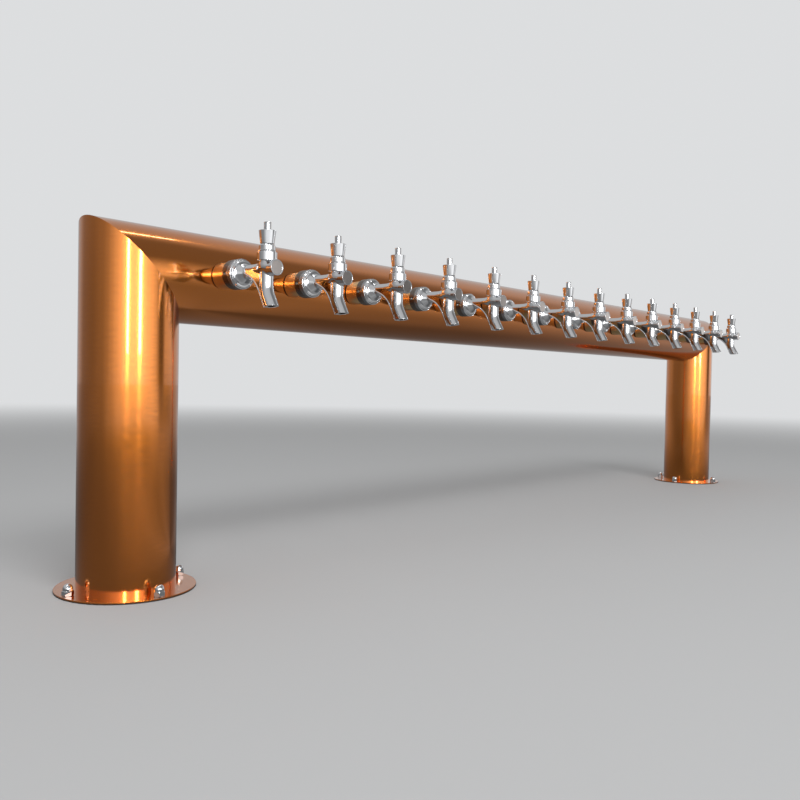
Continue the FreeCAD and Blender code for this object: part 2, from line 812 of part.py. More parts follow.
def make_bonnets():
    """Stepped bonnets: the upper half of each rocker's bearing, with a slot for the stem."""
    bonnet = new_body("bonnet")
    # Heights here are counted from the pivot
    foot = S.boss_rise - S.pivot_rise
    shoulder = foot + S.bonnet_height
    lip_top = shoulder + S.lip_height
    outer = S.bonnet_dia / 2
    edge = S.bonnet_chamfer
    collar_r = S.collar_dia / 2
    collar_top = side_of(S.dome_radius, collar_r)
    half = new_sketch(bonnet, "XZ_Plane", "half_section")
    outline(half, [(0, 0), (bonnet_bore_r, 0), (bonnet_bore_r, foot), (outer - edge, foot),
                   (outer, foot + edge), (outer, shoulder - edge), (outer - edge, shoulder),
                   (collar_r, shoulder), (S.lip_dia / 2, lip_top), (collar_r, lip_top),
                   (collar_r, collar_top), (0, S.dome_radius, S.dome_radius)])
    turn(bonnet, half)
    bearing = new_sketch(bonnet, "YZ_Plane", "bearing")
    ring(bearing, (0, 0), rocker_seat_r * 2)
    pocket(bonnet, bearing, S.rocker_length + S.running_gap * 4, both_ways=True)
    slot = new_sketch(bonnet, "YZ_Plane", "stem_slot")
    wide = S.stem_dia / 2 + S.free_gap
    high = S.dome_radius + S.free_gap + BEYOND
    lean_side, lean_up = sine(S.swing), cosine(S.swing)
    outline(slot, [(wide, 0), (wide, high), (-(wide * lean_up + high * lean_side),
                                             high * lean_up - wide * lean_side),
                   (-wide * lean_up, -wide * lean_side)])
    pocket(bonnet, slot, wide * 2, both_ways=True)
    on_every_tap(bonnet, "bonnets", -pivot_depth, S.beam_height + S.pivot_rise)


def make_front_caps():
    """Caps that close the barrels; the plug behind each disc guides the valve shaft's front end."""
    cap = new_body("front_cap")
    disc = new_sketch(cap, "XZ_Plane", "disc", lift=barrel_front)
    ring(disc, (0, S.barrel_rise), S.cap_dia)
    pad(cap, disc, S.cap_thick)
    recess = new_sketch(cap, "XZ_Plane", "recess", lift=barrel_front + S.cap_thick)
    ring(recess, (0, S.barrel_rise), S.cap_dia - S.cap_rim * 2)
    pocket(cap, recess, S.cap_recess)
    plug_back = barrel_front - S.plug_length
    plug = new_sketch(cap, "XZ_Plane", "plug", lift=plug_back)
    ring(plug, (0, S.bore_rise), S.bore_dia - S.seat_gap * 2)
    pad(cap, plug, S.plug_length)
    guide = new_sketch(cap, "XZ_Plane", "guide", lift=plug_back - BEYOND)
    ring(guide, (0, S.bore_rise), S.shaft_dia + S.running_gap * 2)
    pocket(cap, guide, S.guide_depth + BEYOND, forward=True)
    on_every_tap(cap, "front_caps")


def make_levers():
    """Levers: foot, arm, cross barrel that rocks in its bearing, stem, conical collar and stud."""
    lever = new_body("lever")
    # Heights here are counted from the pivot
    cup_r = S.dome_radius + S.free_gap
    stem_r = S.stem_dia / 2
    low_r = S.ferrule_low_dia / 2
    neck_top = S.arm_neck_length - arm_length
    arm_start = neck_top + S.arm_dia / 2
    stud_top = S.ferrule_top_rise + S.stud_length
    stud_r = S.stud_dia / 2
    edge = S.stud_chamfer
    half = new_sketch(lever, "XZ_Plane", "half_section")
    outline(half, [(0, -arm_length), (S.arm_neck_dia / 2, -arm_length),
                   (S.arm_neck_dia / 2, neck_top), (S.arm_dia / 2, arm_start), (S.arm_dia / 2, 0),
                   (stem_r, 0), (stem_r, side_of(cup_r, stem_r)),
                   (low_r, side_of(cup_r, low_r), -cup_r),
                   (S.ferrule_top_dia / 2, S.ferrule_top_rise), (stud_r, S.ferrule_top_rise),
                   (stud_r, stud_top - edge), (stud_r - edge, stud_top), (0, stud_top)])
    turn(lever, half)
    rocker = new_sketch(lever, "YZ_Plane", "rocker")
    ring(rocker, (0, 0), S.rocker_dia)
    pad(lever, rocker, S.rocker_length, both_ways=True)
    foot = new_sketch(lever, "YZ_Plane", "foot")
    ring(foot, (0, -arm_length), S.foot_dia)
    pad(lever, foot, S.foot_length, both_ways=True)
    node_per_tap(lever, "lever", -pivot_depth, S.beam_height + S.pivot_rise)


def make_valve_shafts():
    """Valve shafts: seal and nut at the back, a slotted block for the lever's foot, guide in front."""
    shaft = new_body("valve_shaft")
    # Places here are counted from the pivot, towards the back
    seal_front = pivot_depth - seat_plane + S.seal_gap
    seal_back = seal_front + S.seal_thick
    tail = seal_back + S.seal_nut_thick
    block = S.block_length / 2
    rod_r = S.shaft_dia / 2
    half = new_sketch(shaft, "YZ_Plane", "half_section")
    outline(half, [(-S.shaft_reach, 0), (-S.shaft_reach, rod_r), (-block, rod_r),
                   (-block, S.block_dia / 2), (block, S.block_dia / 2), (block, rod_r),
                   (seal_front, rod_r), (seal_front, S.seal_dia / 2), (seal_back, S.seal_dia / 2),
                   (seal_back, S.seal_nut_dia / 2), (tail, S.seal_nut_dia / 2), (tail, 0)])
    turn(shaft, half, "H_Axis")
    slot = new_sketch(shaft, "XY_Plane", "foot_slot")
    wide = S.foot_length / 2 + S.free_gap
    deep = S.foot_dia / 2 + S.free_gap
    outline(slot, [(wide, deep), (-wide, deep), (-wide, -deep), (wide, -deep)])
    pocket(shaft, slot, S.block_dia * 2, both_ways=True)
    node_per_tap(shaft, "valve_shaft", -pivot_depth, S.beam_height + S.bore_rise)


# The lines and the insulation

def bent_tube(points, bend, diameter):
    """A round bar along straight runs joined by tangent arcs."""
    edges = []
    start = points[0]
    for corner, following in zip(points[1:], points[2:]):
        arriving = (corner - start).normalize()
        leaving = (following - corner).normalize()
        before, after = corner - arriving * bend, corner + leaving * bend
        middle = corner + (leaving - arriving).normalize() * bend * (math.sqrt(2) - 1)
        edges.append(Part.LineSegment(start, before).toShape())
        edges.append(Part.Arc(before, middle, after).toShape())
        start = after
    edges.append(Part.LineSegment(start, points[-1]).toShape())
    path = Part.Wire(edges)
    section = Part.Wire(Part.makeCircle(diameter / 2, points[0], points[1] - points[0]))
    bar = path.makePipeShell([section], True, False)
    expected = math.pi * (diameter / 2) ** 2 * path.Length
    if abs(bar.Volume - expected) > expected / 1000:
        raise RuntimeError("a line's volume is not its section times its length")
    return bar


def new_line(name, points, bend, diameter):
    line = doc.addObject("Part::Feature", name)
    line.Label = name
    line.Shape = bent_tube(points, bend, diameter)
    return line


def make_beer_lines():
    """One line from each shank, back to its lane, along the cross tube and down the nearer upright."""
    pieces = []
    count = len(TAPS)
    side_count = (count + 1) // 2
    last_lane = coolant_lane.value - S.coolant_line_pitch.value
    for n in TAPS:
        to_left = n < count / 2
        order = n if to_left else count - 1 - n
        lane = last_lane - S.line_pitch.value * (side_count - 1 - order)
        x = tap_place(n).value
        column_x = -half_spacing.value if to_left else half_spacing.value
        height = S.beam_height.value
        points = [Vector(x, -(shank_tail + S.line_insert).value, height),
                  Vector(x, lane, height),
                  Vector(column_x, lane, height),
                  Vector(column_x, lane, S.line_end.value)]
        pieces.append(new_line("beer_line_%02d" % (n + 1), points, S.line_bend.value,
                               S.line_dia.value))
    group("beer_lines", pieces)


def make_coolant_line():
    """One line up the left upright, along the cross tube and down the right upright."""
    reach, lane = half_spacing.value, coolant_lane.value
    low, high = S.line_end.value, S.beam_height.value
    points = [Vector(-reach, lane, low), Vector(-reach, lane, high),
              Vector(reach, lane, high), Vector(reach, lane, low)]
    node(new_line("coolant_line", points, S.coolant_bend.value, S.coolant_dia.value))


def make_foam():
    """Insulation in halves that leave a flat gap for the lines."""
    foam_r = inner_r - S.free_gap
    half_gap = S.foam_gap / 2
    pieces = []
    for name, side in (("upper", 1), ("lower", -1)):
        body = new_body(name + "_beam_foam")
        section = new_sketch(body, "YZ_Plane", "section")
        outline(section, [(-foam_front, half_gap * side),
                          (side_of(foam_r, half_gap), half_gap * side),
                          (-foam_front, side_of(foam_r, foam_front) * side, foam_r * side)])
        pad(body, section, column_spacing - S.tube_dia - S.foam_end * 2, both_ways=True)
        pieces.append(put(body, z=S.beam_height))
    foot = flange_top + S.spigot_height + S.free_gap
    column_half = new_body("column_foam_half")
    section = new_sketch(column_half, "XY_Plane", "section")
    edge = side_of(foam_r, half_gap)
    outline(section, [(half_gap, -edge), (half_gap, edge, foam_r)])
    pad(column_half, section, S.beam_height - tube_r - S.foam_end - foot)
    for name, side in (("left", -1), ("right", 1)):
        for half_turn in (False, True):
            label = "%s_column_foam_%s" % (name, "west" if half_turn else "east")
            pieces.append(copy_of(column_half, label, half_spacing * side, 0, foot, half_turn))
    group("foam_insulation", pieces)


def check_document():
    doc.recompute()
    for item in doc.Objects:
        if "Invalid" in item.State or "Error" in item.State:
            raise RuntimeError("%s failed: %s" % (item.Label, item.State))


def write_nodes():
    os.makedirs("parts", exist_ok=True)
    for label, item in nodes.items():
        shape = Part.getShape(item)
        if shape.isNull() or not shape.isValid() or not shape.Solids:
            raise RuntimeError(label + " has no valid solid")
        shape.exportStep("parts/%s.step" % label)
        print("%-18s %3d solids %12.1f mm3" % (label, len(shape.Solids), shape.Volume))


make_beam()
make_columns()
make_flanges()
make_base_gaskets()
make_dome_nuts()
make_shank_gaskets()
make_shank_sleeves()
make_shanks()
make_saddle_washers()
make_shank_nuts()
make_coupling_nuts()
make_faucet_body()
make_bonnets()
make_front_caps()
make_levers()
make_valve_shafts()
make_beer_lines()
make_coolant_line()
make_foam()
check_document()
write_nodes()
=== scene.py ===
"""The looks of the bridge beer tower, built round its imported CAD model."""

import math

import bmesh
import bpy
import numpy as np
from mathutils import Matrix, Vector


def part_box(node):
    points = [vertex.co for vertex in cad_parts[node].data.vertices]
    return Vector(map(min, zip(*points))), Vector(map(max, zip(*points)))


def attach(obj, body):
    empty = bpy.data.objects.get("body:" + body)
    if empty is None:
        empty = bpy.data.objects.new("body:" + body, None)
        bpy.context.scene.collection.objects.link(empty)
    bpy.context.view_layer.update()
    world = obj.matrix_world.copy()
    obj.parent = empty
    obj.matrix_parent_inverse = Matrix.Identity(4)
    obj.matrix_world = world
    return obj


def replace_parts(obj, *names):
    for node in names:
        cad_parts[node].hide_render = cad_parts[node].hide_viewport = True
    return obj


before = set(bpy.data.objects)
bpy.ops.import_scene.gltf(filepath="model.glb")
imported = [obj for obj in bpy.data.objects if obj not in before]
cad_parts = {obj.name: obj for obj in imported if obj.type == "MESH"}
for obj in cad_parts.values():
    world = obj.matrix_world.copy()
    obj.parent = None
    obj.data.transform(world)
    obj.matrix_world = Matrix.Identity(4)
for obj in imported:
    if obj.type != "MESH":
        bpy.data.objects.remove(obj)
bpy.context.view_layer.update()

MM = 0.001
IMAGE_SIDE = 800

# Thickness of the tubes' wall and of the flanges, in millimetres
WALL = 2
FLANGE_THICK = 2

# Places of the tubes and taps, worked out from the frame
beam_low, beam_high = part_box("beam")
column_low, column_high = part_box("left_column")
flange_low, flange_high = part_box("left_flange")
TUBE_RADIUS = (beam_high.z - beam_low.z) / 2
BEAM_HEIGHT = (beam_high.z + beam_low.z) / 2
COLUMN_X = -(column_low.x + column_high.x) / 2
COLUMN_FOOT = column_low.z
FLANGE_TOP = COLUMN_FOOT
FLANGE_BOTTOM = FLANGE_TOP - FLANGE_THICK * MM
FLANGE_RADIUS = (flange_high.x - flange_low.x) / 2
LEVERS = sorted(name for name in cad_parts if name.startswith("lever_"))


def middle_x(node):
    low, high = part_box(node)
    return (low.x + high.x) / 2


TAP_X = [middle_x(name) for name in LEVERS]

# Sizes of one tap in millimetres: "forward" is measured from the axis of the cross tube
# towards the front, and "up" from the same axis. SEAM keeps faces of pieces that meet from
# lying in one place, and GAP is the clearance between the cross tube, gasket and sleeve.
SEAM = 0.02
GAP = 0.1
SLEEVE_RADIUS = 17.9
SLEEVE_BORE = 11.5
GASKET_RADIUS = 17.5
GASKET_THICK = 1.5
NUT_BACK = 89
NUT_FRONT = 105
NUT_RADIUS = 20
NUT_LIP = 3
NUT_BORE = 14.3
NUT_LIP_BORE = 11.45
SPANNER_HOLE_RADIUS = 2
SPANNER_HOLE_FORWARD = 96
SPANNER_HOLE_TURN = math.radians(0.9)
KNURL_BACK = 99.8
KNURL_FRONT = 104.2
KNURL_PITCH = 1.5
KNURL_LEAN = 0.6
KNURL_DEPTH = 0.32
PIVOT_FORWARD = 157.5
PIVOT_UP = 25
BARREL_UP = 3.4
VALVE_UP = 2
BARREL_RADIUS = 7.2
BARREL_BACK = 106
BARREL_FRONT = 175
BARREL_IN_CAP = 1.2
BARREL_SWELL = 2.3
SWELL_START = 134
SWELL_LENGTH = 22
BOSS_RADIUS = 10.4
BOSS_TOP = 14.8
CAP_RADIUS = 10.1
CAP_FRONT = 178
CAP_RIM = 1
CAP_RECESS = 0.4
SHOULDER_RADIUS = 20
DISH_RADIUS = 16.8
DISH_FOOT = 109.3
DISH_FILLET = 6
DISH_CONE_LEAN = math.radians(52)
SPOUT_RADIUS = 8.7
SPOUT_BORE = 5.2
SPOUT_BEND_RADIUS = 30
SPOUT_KNEE = (157.5, -25.5)
SPOUT_END = (169.8, -47.5)
OUTLET = (163.8, -45.9)
OUTLET_SLOPE = math.radians(5.9)
WEB_DRAFT = 0.05
BEAD_RADIUS = 0.75
BEAD_START = (110.5, 3.3)
BEAD_KNEE = (141.9, -11.6)
BEAD_END = (159.6, -49)
BEAD_BEND_RADIUS = 42
CAST_LOW = (-12.4, 103.6, -59.6)
CAST_HIGH = (12.4, 178.2, 16.2)
DOME_RADIUS = 12.7
CUP_RADIUS = 13.05
FERRULE_FOOT_RADIUS = 8.9
FERRULE_TOP_RADIUS = 11.2
FERRULE_TOP = 51.4
STUD_RADIUS = 4.7625
STUD_TOP = 62.6
STUD_CHAMFER = 0.8
THREAD_PITCH = 25.4 / 16
THREAD_DEPTH = 0.55
THREAD_PROFILE = [(0, 0), (0.50, 0), (0.68, 1), (0.82, 1)]
STEM_RADIUS = 3
ARM_RADIUS = 2.6
ARM_NECK_RADIUS = 1.7
ARM_NECK_UP = (9, 11.6)
FOOT_RADIUS = 3
FOOT_LENGTH = 4.4
CROSS_RADIUS = 5.5
CROSS_LENGTH = 14


# Meshes

def new_object(name, data):
    thing = bpy.data.objects.new(name, data)
    bpy.context.scene.collection.objects.link(thing)
    return thing


def smooth_mesh(mesh, sharp):
    """Smooth shading that keeps edges steeper than `sharp` degrees crisp."""
    mesh.polygons.foreach_set("use_smooth", [True] * len(mesh.polygons))
    mesh.set_sharp_from_angle(angle=math.radians(sharp))


def finish_mesh(name, points, faces, material, sharp=32, keep_normals=False):
    """An object from points in metres. Edges steeper than `sharp` degrees stay crisp."""
    mesh = bpy.data.meshes.new(name)
    mesh.from_pydata([tuple(p) for p in points], [], [tuple(f) for f in faces])
    work = bmesh.new()
    work.from_mesh(mesh)
    bmesh.ops.remove_doubles(work, verts=work.verts, dist=1e-6)
    if not keep_normals:
        bmesh.ops.recalc_face_normals(work, faces=work.faces)
    work.to_mesh(mesh)
    work.free()
    smooth_mesh(mesh, sharp)
    mesh.materials.append(material)
    return new_object(name, mesh)


def apply_modifiers(thing):
    graph = bpy.context.evaluated_depsgraph_get()
    thing.data = bpy.data.meshes.new_from_object(thing.evaluated_get(graph))
    thing.modifiers.clear()


def with_true_flats(thing):
    """Weights the normals by area, so that a flat or straight face beside a small round stays true."""
    step = thing.modifiers.new("normals", "WEIGHTED_NORMAL")
    step.keep_sharp = True
    apply_modifiers(thing)
    return thing


def at_tap(point):
    """A point (across, forward, up) in millimetres, in metres from the beam's axis at a tap."""
    across, forward, up = point
    return (across * MM, -forward * MM, up * MM)


def about_forward(up_of_axis):
    """Turns (along, radius, angle) into a point, for a form turned about a forward axis."""
    return lambda along, radius, angle: (
        radius * math.cos(angle), along, up_of_axis + radius * math.sin(angle))


def about_up(forward_of_axis):
    """The same for a form turned about an upright axis."""
    return lambda along, radius, angle: (
        radius * math.cos(angle), forward_of_axis + radius * math.sin(angle), along)


def about_across(forward_of_axis, up_of_axis):
    """The same for a form turned about an axis that runs across the tap."""
    return lambda along, radius, angle: (
        along, forward_of_axis + radius * math.cos(angle), up_of_axis + radius * math.sin(angle))


def ring(number, steps, start=0):
    """The point numbers of one of several rings that were added in turn."""
    return range(start + number * steps, start + (number + 1) * steps)


def ring_faces(low, high):
    """Faces between two rings of point numbers, with three corners beside a pole."""
    faces = []
    for i in range(len(low)):
        j = (i + 1) % len(low)
        face = list(dict.fromkeys([low[i], low[j], high[j], high[i]]))
        if len(face) > 2:
            faces.append(face)
    return faces


def stacked_faces(count, steps, start=0):
    """Faces between each of `count` rings and the next."""
    faces = []
    for number in range(count - 1):
        faces += ring_faces(ring(number, steps, start), ring(number + 1, steps, start))
    return faces


def grid_faces(rows, columns):
    """Faces of an open grid of points."""
    corners = [row * columns + i for row in range(rows - 1) for i in range(columns - 1)]
    return [[low, low + 1, low + columns + 1, low + columns] for low in corners]


def turned(profile, place, steps, closed=False):
    """Points and faces of a form turned from (along, radius) pairs. Radius 0 makes a pole."""
    points = []
    rings = []
    for along, radius in profile:
        if radius == 0:
            rings.append([len(points)] * steps)
            points.append(place(along, 0, 0))
            continue
        rings.append(range(len(points), len(points) + steps))
        points += [place(along, radius, math.tau * i / steps) for i in range(steps)]
    pairs = list(zip(rings, rings[1:]))
    if closed:
        pairs.append((rings[-1], rings[0]))
    faces = []
    for low, high in pairs:
        faces += ring_faces(low, high)
    return points, faces


def arc(centre, radius, start, end, steps):
    """Points on an arc, with its angles in degrees."""
    angles = [math.radians(start + (end - start) * i / steps) for i in range(steps + 1)]
    return [(centre[0] + radius * math.cos(a), centre[1] + radius * math.sin(a)) for a in angles]


def softened(profile, radius, closed=False, steps=4, most=0.45):
    """The same outline with each corner rounded off by `radius`, or by `most` of its shorter side."""
    count = len(profile)
    made = []
    for i, corner in enumerate(profile):
        if not closed and i in (0, count - 1):
            made.append(corner)
            continue
        before = Vector(profile[i - 1])
        after = Vector(profile[(i + 1) % count])
        here = Vector(corner)
        back = before - here
        ahead = after - here
        reach = min(radius, back.length * most, ahead.length * most)
        start = here + back.normalized() * reach
        end = here + ahead.normalized() * reach
        for k in range(steps + 1):
            t = k / steps
            made.append(tuple(start * (1 - t) ** 2 + here * 2 * t * (1 - t) + end * t ** 2))
    return made


def tap_form(name, parts, material, sharp=32):
    """An object from several (points, faces) in a tap's millimetres."""
    points = []
    faces = []
    for more_points, more_faces in parts:
        faces += [[i + len(points) for i in face] for face in more_faces]
        points += [at_tap(p) for p in more_points]
    return with_true_flats(finish_mesh(name, points, faces, material, sharp))


def carved(thing, cutters, sharp):
    """The thing with the cutters' forms taken out of it. The cutters are removed."""
    for cutter in cutters:
        step = thing.modifiers.new("cut", "BOOLEAN")
        step.operation = "DIFFERENCE"
        step.solver = "EXACT"
        step.object = cutter
    apply_modifiers(thing)
    smooth_mesh(thing.data, sharp)
    for cutter in cutters:
        bpy.data.objects.remove(cutter)
    return thing


def with_added(thing, other):
    """The thing with the other's mesh beside its own. The other is removed."""
    work = bmesh.new()
    work.from_mesh(thing.data)
    work.from_mesh(other.data)
    work.to_mesh(thing.data)
    work.free()
    bpy.data.objects.remove(other)
    return thing


# Cast form of the faucet, as a distance field

def smooth_min(a, b, blend):
    """The smaller of two distances, rounded where they are within `blend` of each other."""
    share = np.clip(0.5 + 0.5 * (b - a) / blend, 0, 1)
    return b + (a - b) * share - blend * share * (1 - share)


def capped(radial, axial):
    """Distance to what two distances have in common, exact outside the corners too."""
    outside = np.hypot(np.maximum(radial, 0), np.maximum(axial, 0))
    return outside + np.minimum(np.maximum(radial, axial), 0)


def rod(p, axis, centre, start, end, radius):
    """Distance to a round rod along one of the axes (0 across, 1 forward, 2 up)."""
    others = [k for k in range(3) if k != axis]
    radial = np.hypot(*(p[..., k] - c for k, c in zip(others, centre))) - radius
    axial = np.abs(p[..., axis] - (start + end) / 2) - (end - start) / 2
    return capped(radial, axial)


def away_from_line(p, start, end):
    """The way in (forward, up) from the nearest place on a straight line to each point."""
    start = np.array(start, float)
    line = np.array(end, float) - start
    flat = p[..., 1:] - start
    share = np.clip(flat @ line / (line @ line), 0, 1)
    return flat - share[..., None] * line


def path_distance(p, path):
    """Distance to a bent line in the plane across=0, given in (forward, up)."""
    best = np.full(p.shape[:-1], np.inf)
    for start, end in zip(path, path[1:]):
        away = away_from_line(p, start, end)
        best = np.minimum(best, np.sqrt((away ** 2).sum(-1) + p[..., 0] ** 2))
    return best


def flat_region(p, outline):
    """Signed distance to a closed outline in (forward, up), below zero inside it."""
    best = np.full(p.shape[:-1], np.inf)
    inside = np.zeros(p.shape[:-1], bool)
    forward = p[..., 1]
    up = p[..., 2]
    for a, b in zip(outline, outline[1:] + outline[:1]):
        best = np.minimum(best, np.sqrt((away_from_line(p, a, b) ** 2).sum(-1)))
        crosses = (a[1] > up) != (b[1] > up)
        rise = b[1] - a[1] if b[1] != a[1] else 1e-9
        inside ^= crosses & (forward < (b[0] - a[0]) * (up - a[1]) / rise + a[0])
    return np.where(inside, -best, best)


def rounded_path(start, knee, end, radius, steps=10):
    """A line from start to end that turns at the knee with the given radius."""
    start, knee, end = Vector(start), Vector(knee), Vector(end)
    back = (start - knee).normalized()
    ahead = (end - knee).normalized()
    half = back.angle(ahead) / 2
    reach = radius / math.tan(half)
    centre = knee + (back + ahead).normalized() * radius / math.sin(half)
    first = knee + back * reach - centre
    last = knee + ahead * reach - centre
    sweep = first.angle_signed(last)
    bend = []
    for i in range(steps + 1):
        turn = Matrix.Rotation(-sweep * i / steps, 2)
        bend.append(tuple(centre + turn @ first))
    return [tuple(start)] + bend + [tuple(end)]


def surface_net(field, low, high, step):
    """Points and quads of the surface where field(points) is zero, inside a box."""
    low = np.array(low, float)
    counts = np.ceil((np.array(high) - low) / step).astype(int) + 1
    ticks = [low[k] + step * np.arange(counts[k]) for k in range(3)]
    grid = np.stack(np.meshgrid(*ticks, indexing="ij"), -1)
    value = field(grid)
    cells = tuple(counts - 1)
    total = np.zeros(cells + (3,))
    hits = np.zeros(cells)
    crossings = []
    for axis in range(3):
        near = value.take(range(counts[axis] - 1), axis)
        far = value.take(range(1, counts[axis]), axis)
        crossing = (near < 0) != (far < 0)
        share = np.where(crossing, near / np.where(crossing, near - far, 1), 0)
        place = grid.take(range(counts[axis] - 1), axis).copy()
        place[..., axis] += share * step
        crossings.append(crossing)
        others = [k for k in range(3) if k != axis]
        for i in (0, 1):
            for j in (0, 1):
                window = [slice(None)] * 3
                window[others[0]] = slice(i, i + cells[others[0]])
                window[others[1]] = slice(j, j + cells[others[1]])
                window = tuple(window)
                total += place[window] * crossing[window][..., None]
                hits += crossing[window]
    active = hits > 0
    number = np.full(cells, -1)
    number[active] = np.arange(active.sum())
    points = total[active] / hits[active][:, None]
    faces = []
    for axis in range(3):
        others = [k for k in range(3) if k != axis]
        edges = np.argwhere(crossings[axis])
        inner = np.all([(edges[:, k] > 0) & (edges[:, k] < cells[k]) for k in others], axis=0)
        edges = edges[inner]
        one = np.eye(3, dtype=int)[others[0]]
        two = np.eye(3, dtype=int)[others[1]]
        corners = [edges - one - two, edges - two, edges, edges - one]
        faces += np.stack([number[tuple(c.T)] for c in corners], 1).tolist()
    return settle(points, field), faces


def settle(points, field, rounds=3):
    """Moves points onto the zero surface of the field."""
    small = 0.01
    least_slope = 0.2
    longest_move = 0.4
    for _ in range(rounds):
        here = field(points)
        slope = np.stack([
            (field(points + small * np.eye(3)[k]) - field(points - small * np.eye(3)[k])) / (2 * small)
            for k in range(3)], -1)
        size = np.maximum((slope ** 2).sum(-1), least_slope)
        points = points - np.clip(here / size, -longest_move, longest_move)[:, None] * slope
    return points


SPOUT_LINE = rounded_path((PIVOT_FORWARD, BARREL_UP), SPOUT_KNEE, SPOUT_END, SPOUT_BEND_RADIUS)
BEAD_LINE = rounded_path(BEAD_START, BEAD_KNEE, BEAD_END, BEAD_BEND_RADIUS)


def faucet_field(p):
    """Distance to the cast part of a faucet: widening barrel, boss, spout, web and beaded edges."""
    across, forward, up = (p[..., k] for k in range(3))
    share = np.clip((forward - SWELL_START) / SWELL_LENGTH, 0, 1)
    wider = BARREL_SWELL * share * share * (3 - 2 * share)
    front = BARREL_FRONT + BARREL_IN_CAP - wider
    barrel = rod(p, 1, (0, BARREL_UP), BARREL_BACK, front, BARREL_RADIUS) - wider
    boss = rod(p, 2, (0, PIVOT_FORWARD), BARREL_UP, BOSS_TOP, BOSS_RADIUS)
    spout = path_distance(p, SPOUT_LINE) - SPOUT_RADIUS
    web_outline = BEAD_LINE + [SPOUT_END, SPOUT_KNEE, (PIVOT_FORWARD, BARREL_UP), (BEAD_START[0], BARREL_UP)]
    beside = np.abs(across) - BARREL_RADIUS + WEB_DRAFT * np.maximum(BARREL_UP - up, 0)
    web = capped(flat_region(p, web_outline), beside)
    bead = path_distance(np.stack([beside, forward, up], -1), BEAD_LINE) - BEAD_RADIUS
    body = barrel
    for part, blend in ((web, 0.4), (boss, 4), (spout, 1.2), (bead, 0.5)):
        body = smooth_min(body, part, blend)
    return body


# Materials

def new_material(name, colour, metallic, roughness):
    material = bpy.data.materials.new(name)
    material.use_nodes = True
    shader = material.node_tree.nodes["Principled BSDF"]
    shader.inputs["Base Color"].default_value = (*colour, 1)
    shader.inputs["Metallic"].default_value = metallic
    shader.inputs["Roughness"].default_value = roughness
    return material, shader


def add_node(owner, kind, **values):
    """A node for a material or the world."""
    node = owner.node_tree.nodes.new(kind)
    for key, value in values.items():
        setattr(node, key, value)
    return node


def join(owner, source, target):
    owner.node_tree.links.new(source, target)


def streaks(material, scale, detail):
    """A noise value in the object's own coordinates, stretched by `scale` (cells per metre)."""
    place = add_node(material, "ShaderNodeTexCoord")
    stretch = add_node(material, "ShaderNodeMapping")
    stretch.inputs["Scale"].default_value = scale
    noise = add_node(material, "ShaderNodeTexNoise")
    noise.inputs["Scale"].default_value = 1
    noise.inputs["Detail"].default_value = detail
    join(material, place.outputs["Object"], stretch.inputs["Vector"])
    join(material, stretch.outputs["Vector"], noise.inputs["Vector"])
    return noise.outputs["Fac"]


def remapped(material, value, low, high, start=0.3, end=0.7):
    """The value's range from start to end, where noise mostly lies, spread from low to high."""
    spread = add_node(material, "ShaderNodeMapRange")
    spread.inputs["From Min"].default_value = start
    spread.inputs["From Max"].default_value = end
    spread.inputs["To Min"].default_value = low
    spread.inputs["To Max"].default_value = high
    join(material, value, spread.inputs["Value"])
    return spread.outputs["Result"]


def blended(material, value, first, second):
    """The colour that a value from 0 to 1 picks between two colours."""
    mix = add_node(material, "ShaderNodeMix", data_type="RGBA")
    mix.inputs["A"].default_value = (*first, 1)
    mix.inputs["B"].default_value = (*second, 1)
    join(material, value, mix.inputs["Factor"])
    return mix.outputs["Result"]


def bumped(material, shader, value, strength, distance):
    bump = add_node(material, "ShaderNodeBump")
    bump.inputs["Strength"].default_value = strength
    bump.inputs["Distance"].default_value = distance
    join(material, value, bump.inputs["Height"])
    join(material, bump.outputs["Normal"], shader.inputs["Normal"])


def varied(material, shader, value, colours, roughness, most=1):
    """Colour and roughness that follow a value, each between two ends."""
    mixed = blended(material, remapped(material, value, 0, most), *colours)
    join(material, mixed, shader.inputs["Base Color"])
    join(material, remapped(material, value, *roughness), shader.inputs["Roughness"])


def coated(shader, weight, roughness):
    shader.inputs["Coat Weight"].default_value = weight
    shader.inputs["Coat Roughness"].default_value = roughness


COPPER = (0.80, 0.250, 0.034)
DEEP_COPPER = (0.74, 0.222, 0.029)
# Painted sheen: a paler, yellower copper that makes the sleeves look more brightly lit than the tubes.
PAINTED_SHEEN_COPPER = (0.94, 0.64, 0.30)


def brushed_copper(name, scale, grain):
    """Lacquered copper tube, brushed round its axis. grain says how much the brushing shows."""
    material, shader = new_material(name, COPPER, 1, 0.25)
    fine = streaks(material, scale, 4)
    spread = 0.05 * grain
    varied(material, shader, fine, (COPPER, DEEP_COPPER), (0.15 - spread, 0.15 + spread), grain)
    bumped(material, shader, fine, 0.03 * grain, 0.00003)
    coated(shader, 1, 0.025)
    return material


def polished(name, colour, shade, roughness, coat=0):
    """Polished metal with faint cloudiness in its gloss."""
    material, shader = new_material(name, colour, 1, roughness)
    cloud = streaks(material, (90, 90, 90), 3)
    varied(material, shader, cloud, (colour, shade), (roughness * 0.92, roughness * 1.1))
    coated(shader, coat, 0.03)
    return material


def grained(name, colour, shade, metallic, roughness, cells, depth):
    """Cast, moulded or machined surface with a fine grain in colour, gloss and relief."""
    material, shader = new_material(name, colour, metallic, roughness)
    grain = streaks(material, (cells, cells, cells), 4)
    varied(material, shader, grain, (colour, shade), (roughness * 0.85, min(1, roughness * 1.2)))
    bumped(material, shader, grain, 0.4, depth)
    return material


